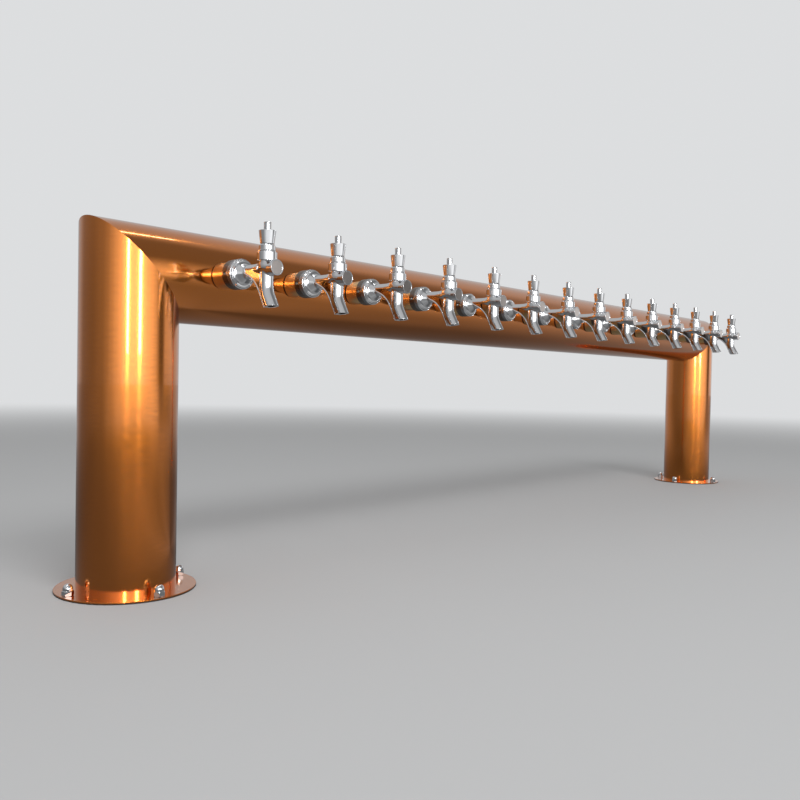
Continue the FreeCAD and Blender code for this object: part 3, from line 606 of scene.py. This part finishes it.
def painted_glints_forward(material, colour, start, end):
    """Blends towards another colour between two places, given in a tap's millimetres forward. On the nut
    this is a painted highlight that stands for the knurl's glints.
    """
    base = material.node_tree.nodes["Principled BSDF"].inputs["Base Color"]
    place = add_node(material, "ShaderNodeTexCoord")
    split = add_node(material, "ShaderNodeSeparateXYZ")
    join(material, place.outputs["Object"], split.inputs["Vector"])
    share = remapped(material, split.outputs["Y"], 0, 1, -start * MM, -end * MM)
    mix = add_node(material, "ShaderNodeMix", data_type="RGBA")
    mix.inputs["B"].default_value = (*colour, 1)
    join(material, base.links[0].from_socket, mix.inputs["A"])
    join(material, share, mix.inputs["Factor"])
    join(material, mix.outputs["Result"], base)


column_copper = brushed_copper("column_copper", (60, 60, 1000), 1)
beam_copper = brushed_copper("beam_copper", (1000, 60, 60), 0.4)
bright_copper = polished("bright_copper", COPPER, DEEP_COPPER, 0.22, coat=1)
# The sleeve's copper is paler and yellower than the tubes': painted sheen, standing in for the brighter
# light that its rougher gloss gathers.
sleeve_copper = polished("sleeve_copper", PAINTED_SHEEN_COPPER, (0.93, 0.625, 0.29), 0.3, coat=0.5)
chrome = polished("chrome", (0.80, 0.81, 0.83), (0.76, 0.77, 0.79), 0.045)
brushed_disc = polished("brushed_disc", (0.74, 0.68, 0.65), (0.71, 0.65, 0.62), 0.16)
dark_metal = grained("dark_metal", (0.235, 0.20, 0.175), (0.195, 0.165, 0.145), 1, 0.27, 1500, 0.00001)
# The knurled band's lighter blue-grey is a painted highlight: it stands in for the glints of light that the
# knurl's facets catch.
painted_glints_forward(dark_metal, (0.43, 0.44, 0.455), KNURL_BACK - 0.6, KNURL_BACK + 0.6)
black_rubber = grained("black_rubber", (0.012, 0.012, 0.012), (0.022, 0.022, 0.023), 0, 0.55, 1200, 0.00004)
zinc_steel = grained("zinc_steel", (0.52, 0.53, 0.54), (0.44, 0.45, 0.47), 1, 0.32, 900, 0.00002)
brass = grained("brass", (0.78, 0.55, 0.22), (0.70, 0.47, 0.17), 1, 0.25, 900, 0.00001)
line_plastic = grained("line_plastic", (0.70, 0.74, 0.76), (0.62, 0.67, 0.70), 0, 0.35, 500, 0.00003)
foam = grained("foam", (0.80, 0.72, 0.50), (0.68, 0.58, 0.36), 0, 0.9, 420, 0.0006)

SLOT_MATERIALS = {
    "copper": bright_copper, "chrome": chrome, "dark_metal": dark_metal, "seal_rubber": black_rubber,
    "steel": zinc_steel, "valve_brass": brass, "line_plastic": line_plastic, "foam": foam,
}
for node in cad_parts.values():
    for slot in node.material_slots:
        slot.material = SLOT_MATERIALS[slot.material.name.split(".")[0]]


# Tubes

def tube(name, place, bottom, top, material, steps=256, rows=24):
    """A tube wall between two cut ends. bottom and top give the cut's place along the axis for a
    point beside the axis, and place turns (along, side, front) into a point."""
    points = []
    for radius in (TUBE_RADIUS, TUBE_RADIUS - WALL * MM):
        for row in range(rows + 1):
            for i in range(steps):
                angle = math.tau * i / steps
                side = radius * math.cos(angle)
                along = bottom(side) + (top(side) - bottom(side)) * row / rows
                points.append(place(along, side, radius * math.sin(angle)))
    layer = rows + 1
    faces = stacked_faces(layer, steps) + stacked_faces(layer, steps, layer * steps)
    for row in (0, rows):
        faces += ring_faces(ring(row, steps), ring(layer + row, steps))
    return finish_mesh(name, points, faces, material)


def make_tubes():
    beam = tube("beam_tube",
                lambda along, side, front: (along, front, BEAM_HEIGHT + side),
                lambda side: -COLUMN_X - side,
                lambda side: COLUMN_X + side,
                beam_copper, rows=60)
    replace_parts(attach(beam, "tower"), "beam")
    for name, sign in (("left_column", -1), ("right_column", 1)):
        column = tube(name + "_tube",
                      lambda along, side, front: (sign * (COLUMN_X + side), front, along),
                      lambda side: COLUMN_FOOT,
                      lambda side: BEAM_HEIGHT + side,
                      column_copper)
        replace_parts(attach(column, "tower"), name)


# Flanges and their dome nuts, in millimetres

FLANGE_BORE_RADIUS = 60
FLANGE_EDGE = 0.5
BOLT_CIRCLE_RADIUS = 80
DOME_NUT_FLATS = 13
DOME_NUT_HEX = 6.5
DOME_NUT_RADIUS = 6.25
DOME_NUT_HEIGHT = 15
DOME_NUT_TURN = math.radians(23)


def make_flanges():
    rim = FLANGE_RADIUS / MM
    section = [(0, FLANGE_BORE_RADIUS), (0, rim), (FLANGE_THICK, rim), (FLANGE_THICK, FLANGE_BORE_RADIUS)]
    points, faces = turned(softened(section, FLANGE_EDGE), about_up(0), 192, closed=True)
    for name, sign in (("left_flange", -1), ("right_flange", 1)):
        placed = [(sign * COLUMN_X + x * MM, y * MM, FLANGE_BOTTOM + z * MM) for x, y, z in points]
        flange = with_true_flats(finish_mesh(name + "_plate", placed, faces, bright_copper))
        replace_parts(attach(flange, "tower"), name)


def dome_nut_form():
    """A hexagon with chamfered corners and a collar, and the dome over it."""
    flat = DOME_NUT_FLATS / 2
    foot_lift = 0.15
    shoulder_drop = 0.25
    collar_lift = 0.05
    slices = 6
    around = 6 * slices
    chamfer = math.tan(math.radians(30))
    bottom, foot, shoulder, rim = rings = [[], [], [], []]
    for side in range(6):
        for i in range(slices):
            t = 2 * i / slices - 1
            angle = math.radians(60 * side + 30 * t)
            radius = flat / math.cos(math.radians(30 * t))
            drop = (radius - flat) * chamfer
            bottom.append((angle, flat * 0.96, 0))
            foot.append((angle, radius, foot_lift + drop))
            shoulder.append((angle, radius, DOME_NUT_HEX - shoulder_drop - drop))
            rim.append((angle, flat * 0.97, DOME_NUT_HEX))
    dome = arc((0, DOME_NUT_HEIGHT - DOME_NUT_RADIUS), DOME_NUT_RADIUS, 0, 80, 8)
    for radius, height in [(DOME_NUT_RADIUS, DOME_NUT_HEX + collar_lift)] + dome:
        rings.append([(math.tau * (i - slices / 2) / around, radius, height) for i in range(around)])
    points = [(r * math.cos(a), r * math.sin(a), h) for row in rings for a, r, h in row]
    faces = stacked_faces(len(rings), around)
    faces += ring_faces([len(points)] * around, ring(0, around))
    faces += ring_faces(ring(len(rings) - 1, around), [len(points) + 1] * around)
    return points + [(0, 0, 0), (0, 0, DOME_NUT_HEIGHT)], faces


def make_dome_nuts():
    """Four nuts on each flange, every one turned its own way, as tightening leaves them."""
    points, faces = dome_nut_form()
    placed = [tuple(c * MM for c in p) for p in points]
    first = with_true_flats(finish_mesh("dome_nut_1", placed, faces, chrome))
    places = [(sign, math.radians(90 * quarter)) for sign in (-1, 1) for quarter in range(4)]
    for number, (sign, angle) in enumerate(places, 1):
        nut = first if number == 1 else new_object(f"dome_nut_{number}", first.data)
        reach = BOLT_CIRCLE_RADIUS * MM
        nut.location = (sign * COLUMN_X + reach * math.cos(angle), reach * math.sin(angle), FLANGE_TOP)
        nut.rotation_euler.z = DOME_NUT_TURN * number
        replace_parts(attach(nut, "tower"), "dome_nuts")


# Pieces of one tap, each made once and placed at every tap

def saddle_ring(outer, inner, rear, front, steps=96):
    """A ring whose ends lie as far forward as the functions rear and front say for each height."""
    points = []
    for radius, edge in ((outer, rear), (outer, front), (inner, front), (inner, rear)):
        for i in range(steps):
            angle = math.tau * i / steps
            up = radius * math.sin(angle)
            points.append((radius * math.cos(angle), edge(up), up))
    return points, stacked_faces(4, steps) + ring_faces(ring(3, steps), ring(0, steps))


def beyond_tube(distance):
    """How far forward the surface at that distance outside the cross tube lies at a height."""
    reach = TUBE_RADIUS / MM + distance
    return lambda up: math.sqrt(reach ** 2 - up ** 2)


def make_gasket():
    form = saddle_ring(GASKET_RADIUS, SLEEVE_BORE, beyond_tube(GAP), beyond_tube(GAP + GASKET_THICK))
    return tap_form("shank_gasket", [form], black_rubber)


def make_sleeve():
    rear = beyond_tube(2 * GAP + GASKET_THICK)
    form = saddle_ring(SLEEVE_RADIUS, SLEEVE_BORE, rear, lambda up: NUT_BACK - SEAM)
    return tap_form("shank_sleeve", [form], sleeve_copper)


def knurl_rings(finer=4, fade_rows=1.5):
    """Rings of (along, radius by angle) for a band of diamond knurling between plain ends, with
    `finer` points for each ridge."""
    ridges = round(math.tau * NUT_RADIUS / KNURL_PITCH)
    around = ridges * finer
    length = KNURL_FRONT - KNURL_BACK
    rows = round(length / (KNURL_PITCH / finer))
    lean = KNURL_LEAN / KNURL_PITCH
    made = []
    for row in range(rows + 1):
        along = length * row / rows
        fade = min(1, min(row, rows - row) / fade_rows)
        radii = []
        for i in range(around):
            lift = 1
            for sign in (1, -1):
                phase = (ridges * i / around + sign * lean * along) % 1
                lift = min(lift, abs(phase * 2 - 1) * 2)
            radii.append(NUT_RADIUS - KNURL_DEPTH * fade * (1 - lift))
        made.append((KNURL_BACK + along, radii))
    return made, around


def make_shell():
    """The nut's plain band with its lip, and the thinner tube on which the grip sits."""
    front = NUT_FRONT - 0.5
    under = NUT_RADIUS - 1
    lip = NUT_BACK + NUT_LIP
    section = [(front, NUT_BORE), (lip, NUT_BORE), (lip, NUT_LIP_BORE), (NUT_BACK, NUT_LIP_BORE),
               (NUT_BACK, NUT_RADIUS), (KNURL_BACK, NUT_RADIUS), (KNURL_BACK, under), (front, under)]
    form = turned(softened(section, 0.4, closed=True), about_forward(0), 96, closed=True)
    return tap_form("coupling_nut", [form], dark_metal, sharp=50)


def make_grip():
    """The nut's knurled grip, closed in behind and rounded at its front edges."""
    knurl, around = knurl_rings()
    bore = NUT_BORE + 0.1
    plain = softened([(KNURL_FRONT + 0.1, NUT_RADIUS), (NUT_FRONT, NUT_RADIUS), (NUT_FRONT, bore)], 0.5)
    plain.append((NUT_FRONT - 0.6, bore))
    rings = [(KNURL_BACK - SEAM, [NUT_RADIUS - 1.2] * around)] + knurl
    rings += [(along, [radius] * around) for along, radius in plain]
    place = about_forward(0)
    points = [place(along, radius, math.tau * i / around)
              for along, radii in rings for i, radius in enumerate(radii)]
    return tap_form("grip", [(points, stacked_faces(len(rings), around))], dark_metal, sharp=50)


def spanner_hole(angle, depth=3.6):
    """A round pin that points outwards from the nut at an angle."""
    def place(share, radius, turn):
        out = NUT_RADIUS - depth + share * (depth + 1)
        side = radius * math.cos(turn)
        return (out * math.cos(angle) - side * math.sin(angle),
                SPANNER_HOLE_FORWARD + radius * math.sin(turn),
                out * math.sin(angle) + side * math.cos(angle))

    pin = [(0, 0), (0, SPANNER_HOLE_RADIUS), (1, SPANNER_HOLE_RADIUS), (1, 0)]
    return tap_form("hole", [turned(pin, place, 20)], dark_metal)


def make_coupling_nut():
    """The coupling nut: a plain band with four spanner holes, and a knurled grip at its front."""
    shell = make_shell()
    grip = make_grip()
    holes = [spanner_hole(math.radians(90 * quarter) + SPANNER_HOLE_TURN) for quarter in range(4)]
    return with_added(carved(shell, holes, sharp=50), grip)


def make_faucet_shoulder():
    """The turned rear of a faucet: tail, stepped shoulder and the cone that leads to the barrel."""
    tail_back = 96
    tail_radius = 13.9
    back = NUT_FRONT + 0.05
    fillet = arc((DISH_FOOT + DISH_FILLET, DISH_RADIUS), DISH_FILLET,
                 180, 180 + math.degrees(DISH_CONE_LEAN), 8)
    foot, radius = fillet[-1]
    cone_top = foot + (radius - BARREL_RADIUS) * math.tan(DISH_CONE_LEAN)
    end = cone_top + 4
    collars = [(tail_back, 0), (tail_back, tail_radius), (back, tail_radius), (back, SHOULDER_RADIUS),
               (106.5, SHOULDER_RADIUS), (106.6, 19.2), (108.5, 18.2), (108.6, 17.3), fillet[0]]
    cone = softened([fillet[-1], (cone_top, BARREL_RADIUS), (end, BARREL_RADIUS - 0.1)], 2)
    outline = softened(collars, 0.3) + fillet[1:] + cone[1:] + [(end, 0)]
    return tap_form("faucet_shoulder", [turned(outline, about_forward(0), 96)], chrome, sharp=28)


def swept(path, radius, steps=40):
    """A round bar along a bent line in the plane across=0, given in (forward, up)."""
    points = []
    for k, (forward, up) in enumerate(path):
        before = Vector(path[max(k - 1, 0)])
        after = Vector(path[min(k + 1, len(path) - 1)])
        ahead = (after - before).normalized()
        for i in range(steps):
            angle = math.tau * i / steps
            side = radius * math.sin(angle)
            points.append((radius * math.cos(angle), forward - ahead.y * side, up + ahead.x * side))
    ends = [list(ring(0, steps))[::-1], list(ring(len(path) - 1, steps))]
    return points, stacked_faces(len(path), steps) + ends


def outlet_slab(half=17, side=14, drop=12):
    """What lies under the slanted end of the spout."""
    ahead = Vector((math.cos(OUTLET_SLOPE), math.sin(OUTLET_SLOPE)))
    down = Vector((ahead.y, -ahead.x))
    corners = [Vector(OUTLET) + ahead * a + down * d
               for a, d in ((-half, 0), (half, 0), (half, drop), (-half, drop))]
    points = [(across, corner.x, corner.y) for across in (-side, side) for corner in corners]
    return points, [[0, 1, 2, 3], [7, 6, 5, 4]] + ring_faces(range(4), range(4, 8))


def make_faucet_cast(step=0.65, beyond=14):
    """The cast part, cut off under its outlet and bored from there up into the bend."""
    points, faces = surface_net(faucet_field, CAST_LOW, CAST_HIGH, step)
    cast = tap_form("faucet_cast", [([tuple(p) for p in points], faces)], chrome, sharp=60)
    ahead = (Vector(SPOUT_END) - Vector(SPOUT_LINE[-2])).normalized()
    bore = swept(SPOUT_LINE[3:-1] + [tuple(Vector(SPOUT_END) + ahead * beyond)], SPOUT_BORE)
    cutters = [tap_form("slab", [outlet_slab()], chrome), tap_form("bore", [bore], chrome)]
    return carved(cast, cutters, sharp=50)


def make_bonnet():
    """Two collars under a hollow dome that the lever's cup turns on."""
    foot = PIVOT_UP - 12
    waist = PIVOT_UP - 1
    rim = waist + 2
    bore = 9.5
    lower = 13
    groove = 10.7
    upper = 11.5
    neck = 10.6
    shell = 2.2
    seam = PIVOT_UP + math.sqrt(DOME_RADIUS ** 2 - neck ** 2)
    collars = [(foot, bore), (foot, lower), (waist - 0.2, lower), (waist, groove), (rim, upper),
               (rim + 0.2, neck), (seam, neck)]
    dome = arc((PIVOT_UP, 0), DOME_RADIUS, math.degrees(math.asin(neck / DOME_RADIUS)), 0, 10)
    outside = softened(collars, 0.5) + dome[1:-1] + [(PIVOT_UP + DOME_RADIUS, 0)]
    inside = [(PIVOT_UP + DOME_RADIUS - shell, 0), (PIVOT_UP + 8, 6.4), (foot, bore)]
    place = about_up(PIVOT_FORWARD)
    return tap_form("bonnet", [turned(outside, place, 96), turned(inside, place, 64)], chrome, sharp=28)


def make_front_cap():
    """The round cap on the front of the barrel, with a thin raised rim."""
    spigot = 6.6
    hub = 5
    rear = BARREL_FRONT - 0.6
    shoulder = BARREL_FRONT + 0.05
    recess = CAP_FRONT - CAP_RECESS
    face = CAP_FRONT - 0.6
    rim = CAP_RADIUS - CAP_RIM
    outline = [(rear, 0), (rear, spigot), (shoulder, spigot), (shoulder, CAP_RADIUS),
               (CAP_FRONT, CAP_RADIUS), (CAP_FRONT, rim), (recess, rim - 0.25), (recess, hub), (face, hub),
               (face, 0)]
    form = turned(softened(outline, 0.3), about_forward(BARREL_UP), 80)
    return tap_form("front_cap", [form], chrome, sharp=40)


def make_cap_face():
    """The faced disc inside the cap's rim, a little prouder in its middle."""
    back = CAP_FRONT - CAP_RECESS - 0.1
    front = CAP_FRONT - CAP_RECESS + 0.02
    radius = CAP_RADIUS - CAP_RIM - 0.4
    outline = [(back, 0), (back, radius), (front, radius), (front + 0.02, 0)]
    return tap_form("cap_face", [turned(outline, about_forward(BARREL_UP), 80)], brushed_disc, sharp=40)


def threaded_stud():
    """A bare 3/8 inch stud whose thread is cut as narrow grooves, as one long winding strip."""
    around = 40
    foot = FERRULE_TOP - 0.1
    runout = STUD_TOP - 1
    turns = int((runout - 0.2 - foot) / THREAD_PITCH)
    levels = turns * len(THREAD_PROFILE) + 1
    place = about_up(PIVOT_FORWARD)
    points = []
    for k in range(levels):
        whole, part = divmod(k, len(THREAD_PROFILE))
        share, depth = THREAD_PROFILE[part]
        for i in range(around + 1):
            turn = i / around
            up = foot + (whole + share + turn) * THREAD_PITCH
            ease = min(1, max(0, (runout - up) / THREAD_PITCH))
            radius = STUD_RADIUS - THREAD_DEPTH * depth * ease
            points.append(place(min(up, STUD_TOP - STUD_CHAMFER), radius, math.tau * turn))
    return points, grid_faces(levels, around + 1)


def cross_bar(length, radius, up, steps):
    """A round bar that lies across the tap, under or at the pivot."""
    half = length / 2
    section = [(-half, 0), (-half, radius), (half, radius), (half, 0)]
    return turned(section, about_across(PIVOT_FORWARD, up), steps)


def make_lever():
    """The lever: conical collar, stud for a handle, cross barrel, arm and the foot that works the valve."""
    cup = []
    slices = 8
    for k in range(slices + 1):
        radius = STEM_RADIUS + (FERRULE_FOOT_RADIUS - STEM_RADIUS) * k / slices
        cup.append((PIVOT_UP + math.sqrt(CUP_RADIUS ** 2 - radius ** 2), radius))
    foot = cup[-1][0]
    root = STUD_RADIUS - THREAD_DEPTH
    chamfer = STUD_TOP - STUD_CHAMFER
    arm = [(VALVE_UP, 0), (VALVE_UP, ARM_NECK_RADIUS), (ARM_NECK_UP[0], ARM_NECK_RADIUS),
           (ARM_NECK_UP[1], ARM_RADIUS), (PIVOT_UP, ARM_RADIUS), (PIVOT_UP, STEM_RADIUS)]
    ferrule = softened([(foot, FERRULE_FOOT_RADIUS), (foot + 0.1, FERRULE_FOOT_RADIUS + 0.15),
                        (FERRULE_TOP, FERRULE_TOP_RADIUS), (FERRULE_TOP, root)], 0.45)
    core = [(chamfer, root), (chamfer, STUD_RADIUS - SEAM), (STUD_TOP, STUD_RADIUS - STUD_CHAMFER),
            (STUD_TOP, 0)]
    body = turned(arm + cup + ferrule[1:] + core, about_up(PIVOT_FORWARD), 80)
    pivot = cross_bar(CROSS_LENGTH, CROSS_RADIUS, PIVOT_UP, 40)
    foot_bar = cross_bar(FOOT_LENGTH, FOOT_RADIUS, VALVE_UP, 32)
    return tap_form("lever", [body, threaded_stud(), pivot, foot_bar], chrome, sharp=28)


def make_taps():
    """Places every tap's pieces. The pieces of a kind share one mesh."""
    kinds = [
        (make_gasket, "seal_rubber", "shank_gaskets"),
        (make_sleeve, "copper", "shank_sleeves"),
        (make_coupling_nut, "dark_metal", "coupling_nuts"),
        (make_faucet_shoulder, "chrome", "faucet_bodies"),
        (make_faucet_cast, "chrome", "faucet_bodies"),
        (make_bonnet, "chrome", "bonnets"),
        (make_front_cap, "chrome", "front_caps"),
        (make_cap_face, "chrome", "front_caps"),
        (make_lever, "chrome", None),
    ]
    for make, slot, node in kinds:
        first = make()
        kind = first.name
        for number, x in enumerate(TAP_X, 1):
            piece = first if number == 1 else new_object(kind, first.data)
            piece.name = f"{kind}_piece_{number:02d}"
            piece.location = (x, 0, BEAM_HEIGHT)
            body = "tower" if node else f"tap_lever_{number:02d}"
            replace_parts(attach(piece, body), node or f"lever_{number:02d}")


make_tubes()
make_flanges()
make_dome_nuts()
make_taps()


# Camera, solved from the photograph

CAMERA_PLACE = Vector((-1473.4, -986.8, 280)) * MM
CAMERA_YAW = math.radians(41.897)
CAMERA_PITCH = math.radians(-1.335)
CAMERA_ROLL = math.radians(1.115)
CAMERA_FOCAL_PIXELS = 817.65
SENSOR_WIDTH = 36


def make_camera():
    data = bpy.data.cameras.new("camera")
    data.sensor_width = SENSOR_WIDTH
    data.lens = CAMERA_FOCAL_PIXELS / IMAGE_SIDE * SENSOR_WIDTH
    camera = new_object("camera", data)
    ahead = Vector((math.cos(CAMERA_PITCH) * math.cos(CAMERA_YAW),
                    math.cos(CAMERA_PITCH) * math.sin(CAMERA_YAW), math.sin(CAMERA_PITCH)))
    right = ahead.cross(Vector((0, 0, 1))).normalized()
    up = right.cross(ahead)
    turned_right = math.cos(CAMERA_ROLL) * right + math.sin(CAMERA_ROLL) * up
    turned_up = -math.sin(CAMERA_ROLL) * right + math.cos(CAMERA_ROLL) * up
    axes = Matrix((turned_right, turned_up, -ahead)).transposed()
    camera.matrix_world = Matrix.Translation(CAMERA_PLACE) @ axes.to_4x4()
    bpy.context.scene.camera = camera


# Studio, in metres and degrees

BACKGROUND = (0.72, 0.73, 0.74)
FLOOR = (0.44, 0.445, 0.45)
FLOOR_HALF = 60
FLOOR_FADE = (2.2, 7.5)
WORLD_LIGHT = 0.62

# What only gloss sees: brightness by azimuth, from +X towards +Y
EYE_LEVEL = [
    (0, 0.60), (14, 0.52), (60, 0.45), (100, 0.38), (122, 0.23), (150, 0.22), (178, 0.31), (190, 0.44),
    (200, 0.68), (210, 1.00), (219, 1.30), (228, 1.95), (247, 2.40), (270, 2.20), (283, 1.65), (292, 1.35),
    (302, 1.00), (308, 0.55), (313, 0.13), (321, 0.13), (331, 0.78), (350, 0.78), (360, 0.60)]
OVERHEAD = [
    (0, 0.48), (60, 0.48), (120, 0.50), (205, 0.55), (270, 0.50), (292, 0.20), (335, 0.20), (360, 0.48)]
NEAR_GROUND = [
    (0, 0.10), (14, 0.10), (60, 0.16), (126, 0.11), (178, 0.15), (198, 0.18), (217, 0.24), (236, 0.27),
    (247, 0.33), (273, 0.29), (292, 0.24), (314, 0.27), (339, 0.20), (360, 0.10)]
MIDDLE_GROUND = [
    (0, 0.27), (14, 0.27), (60, 0.36), (126, 0.16), (155, 0.14), (178, 0.18), (198, 0.22), (217, 0.24),
    (236, 0.20), (247, 0.21), (273, 0.24), (292, 0.46), (314, 0.50), (339, 0.42), (360, 0.27)]
FAR_GROUND = [
    (0, 0.35), (60, 0.40), (126, 0.18), (178, 0.26), (198, 0.50), (217, 0.85), (240, 0.95), (292, 1.15),
    (304, 0.95), (316, 0.30), (339, 0.26), (360, 0.35)]
NEAR_REACH = 0.9
MIDDLE_REACH = 2.8
FAR_REACH = 4.5
OVERHEAD_FROM = 9
OVERHEAD_TO = 30
SURROUND_DISTANCE = 26
# Azimuth and width of each
WINDOWS = [(236.2, 5), (263.5, 6.5)]
WINDOW_DISTANCE = 24
WINDOW_FOOT = 2.2
WINDOW_TOP = 22
WINDOW_LIGHT = 17
CEILING_LAMP_HEIGHT = 6
CEILING_LAMP_X = (-4, 2.6)
CEILING_LAMP_Y = (0, 0.22)
CEILING_LAMP_LIGHT = 8.5
STUDIO_MIDDLE = Vector((-0.60, -0.06, 0))
GROUND_LIFT = Vector((0, 0, 0.5 * MM))
KEY_LAMP_PLACE = Vector((-1.6, -2.8, 3.2))
KEY_LAMP_AIM = Vector((0, 0, 0.2))
KEY_LAMP_SIZE = (2.6, 1.6)
KEY_LAMP_POWER = 120


def seen_in_gloss_only(thing):
    for kind in ("camera", "diffuse", "transmission", "volume_scatter", "shadow"):
        setattr(thing, "visible_" + kind, False)


def glow_material(name):
    """Light whose strength is the mesh's own value "level" at each point."""
    material = bpy.data.materials.new(name)
    material.use_nodes = True
    material.node_tree.nodes.clear()
    level = add_node(material, "ShaderNodeAttribute", attribute_name="level")
    glow = add_node(material, "ShaderNodeEmission")
    output = add_node(material, "ShaderNodeOutputMaterial")
    join(material, level.outputs["Fac"], glow.inputs["Strength"])
    join(material, glow.outputs["Emission"], output.inputs["Surface"])
    return material


def level_at(table, place):
    """A table's brightness at a place, with a soft passage from each entry to the next."""
    for (a, low), (b, high) in zip(table, table[1:]):
        if a <= place <= b:
            t = (place - a) / (b - a)
            return low + (high - low) * t * t * (3 - 2 * t)


def share_of(value, start, end):
    """How far a value has come from start to end, from 0 to 1."""
    return min(1, max(0, (value - start) / (end - start)))


def studio_point(azimuth, elevation, distance):
    """A point of the studio in a direction from its middle."""
    a = math.radians(azimuth)
    e = math.radians(elevation)
    direction = Vector((math.cos(a) * math.cos(e), math.sin(a) * math.cos(e), math.sin(e)))
    return tuple(STUDIO_MIDDLE + distance * direction)


def glow_sheet(name, rows, values):
    """A grid of points that glows with its own brightness, for reflections alone."""
    mesh = bpy.data.meshes.new(name)
    mesh.from_pydata([point for row in rows for point in row], [], grid_faces(len(rows), len(rows[0])))
    level = mesh.attributes.new("level", "FLOAT", "POINT")
    level.data.foreach_set("value", [value for row in values for value in row])
    mesh.materials.append(glow_material(name + "_glow"))
    sheet = new_object(name, mesh)
    seen_in_gloss_only(sheet)


def make_surround():
    """A dome of soft panels and dark flags round the studio."""
    azimuths = [2 * i for i in range(181)]
    rows = []
    values = []
    for elevation in (-1, 0, 6, 12, 18, 24, 30, 36, 42, 48, 54, 62, 75, 89):
        high = share_of(elevation, OVERHEAD_FROM, OVERHEAD_TO)
        rows.append([studio_point(a, elevation, SURROUND_DISTANCE) for a in azimuths])
        values.append([level_at(EYE_LEVEL, a) * (1 - high) + level_at(OVERHEAD, a) * high for a in azimuths])
    glow_sheet("studio_surround", rows, values)


def make_windows():
    """Tall bright panels far off in front."""
    for number, (azimuth, width) in enumerate(WINDOWS, 1):
        sides = (azimuth - width / 2, azimuth + width / 2)
        rows = [[studio_point(side, elevation, WINDOW_DISTANCE) for side in sides]
                for elevation in (WINDOW_FOOT, WINDOW_TOP)]
        glow_sheet(f"studio_window_{number}", rows, [[WINDOW_LIGHT] * 2] * 2)


def make_ceiling_lamp():
    """A long lamp over the tower's left end."""
    rows = [[(x, y, CEILING_LAMP_HEIGHT) for x in CEILING_LAMP_X] for y in CEILING_LAMP_Y]
    glow_sheet("studio_ceiling_lamp", rows, [[CEILING_LAMP_LIGHT] * 2] * 2)


def make_ground():
    """The floor as gloss sees it: dark close by, and bright far off in front."""
    azimuths = [3 * i for i in range(121)]
    rows = []
    values = []
    for reach in (0, 0.4, 0.9, 1.4, 1.9, 2.4, 2.8, 3.3, 3.9, 4.5, 8, 16, SURROUND_DISTANCE - 0.1):
        far = share_of(reach, MIDDLE_REACH, FAR_REACH)
        near = share_of(reach, MIDDLE_REACH, NEAR_REACH)
        rows.append([tuple(Vector(studio_point(a, 0, reach)) + GROUND_LIFT) for a in azimuths])
        values.append([level_at(NEAR_GROUND, a) * near + level_at(FAR_GROUND, a) * far
                       + level_at(MIDDLE_GROUND, a) * (1 - near - far) for a in azimuths])
    glow_sheet("studio_ground", rows, values)


def make_floor():
    """A pale floor that passes softly into the background away from the tower."""
    material, shader = new_material("studio_floor", FLOOR, 0, 0.75)
    shader.inputs["Specular IOR Level"].default_value = 0.15
    glow = add_node(material, "ShaderNodeEmission")
    glow.inputs["Color"].default_value = (*BACKGROUND, 1)
    place = add_node(material, "ShaderNodeTexCoord")
    length = add_node(material, "ShaderNodeVectorMath", operation="LENGTH")
    fade = add_node(material, "ShaderNodeMapRange", interpolation_type="SMOOTHSTEP")
    fade.inputs["From Min"].default_value, fade.inputs["From Max"].default_value = FLOOR_FADE
    mix = add_node(material, "ShaderNodeMixShader")
    join(material, place.outputs["Object"], length.inputs[0])
    join(material, length.outputs["Value"], fade.inputs["Value"])
    join(material, fade.outputs["Result"], mix.inputs["Fac"])
    join(material, shader.outputs["BSDF"], mix.inputs[1])
    join(material, glow.outputs["Emission"], mix.inputs[2])
    join(material, mix.outputs["Shader"], material.node_tree.nodes["Material Output"].inputs["Surface"])
    half = FLOOR_HALF
    corners = [(-half, -half, 0), (half, -half, 0), (half, half, 0), (-half, half, 0)]
    finish_mesh("floor", corners, [(0, 1, 2, 3)], material, sharp=180, keep_normals=True)


def make_world():
    """An even light, and the plain background for all that the camera, gloss and glass see."""
    world = bpy.data.worlds.new("studio")
    bpy.context.scene.world = world
    world.use_nodes = True
    world.node_tree.nodes.clear()
    path = add_node(world, "ShaderNodeLightPath")
    seen = path.outputs["Is Camera Ray"]
    for kind in ("Is Glossy Ray", "Is Transmission Ray"):
        either = add_node(world, "ShaderNodeMath", operation="ADD", use_clamp=True)
        join(world, seen, either.inputs[0])
        join(world, path.outputs[kind], either.inputs[1])
        seen = either.outputs["Value"]
    light = add_node(world, "ShaderNodeBackground")
    light.inputs["Color"].default_value = (1, 1, 1, 1)
    light.inputs["Strength"].default_value = WORLD_LIGHT
    view = add_node(world, "ShaderNodeBackground")
    view.inputs["Color"].default_value = (*BACKGROUND, 1)
    mix = add_node(world, "ShaderNodeMixShader")
    output = add_node(world, "ShaderNodeOutputWorld")
    join(world, seen, mix.inputs["Fac"])
    join(world, light.outputs["Background"], mix.inputs[1])
    join(world, view.outputs["Background"], mix.inputs[2])
    join(world, mix.outputs["Shader"], output.inputs["Surface"])


def make_key_lamp():
    data = bpy.data.lights.new("key_lamp", "AREA")
    data.shape = "RECTANGLE"
    data.size, data.size_y = KEY_LAMP_SIZE
    data.energy = KEY_LAMP_POWER
    lamp = new_object("key_lamp", data)
    lamp.location = KEY_LAMP_PLACE
    lamp.rotation_euler = (KEY_LAMP_AIM - KEY_LAMP_PLACE).to_track_quat("-Z", "Y").to_euler()
    lamp.visible_camera = False
    lamp.visible_glossy = False


make_camera()
make_floor()
make_surround()
make_windows()
make_ceiling_lamp()
make_ground()
make_world()
make_key_lamp()

bpy.context.scene.view_settings.view_transform = "Standard"
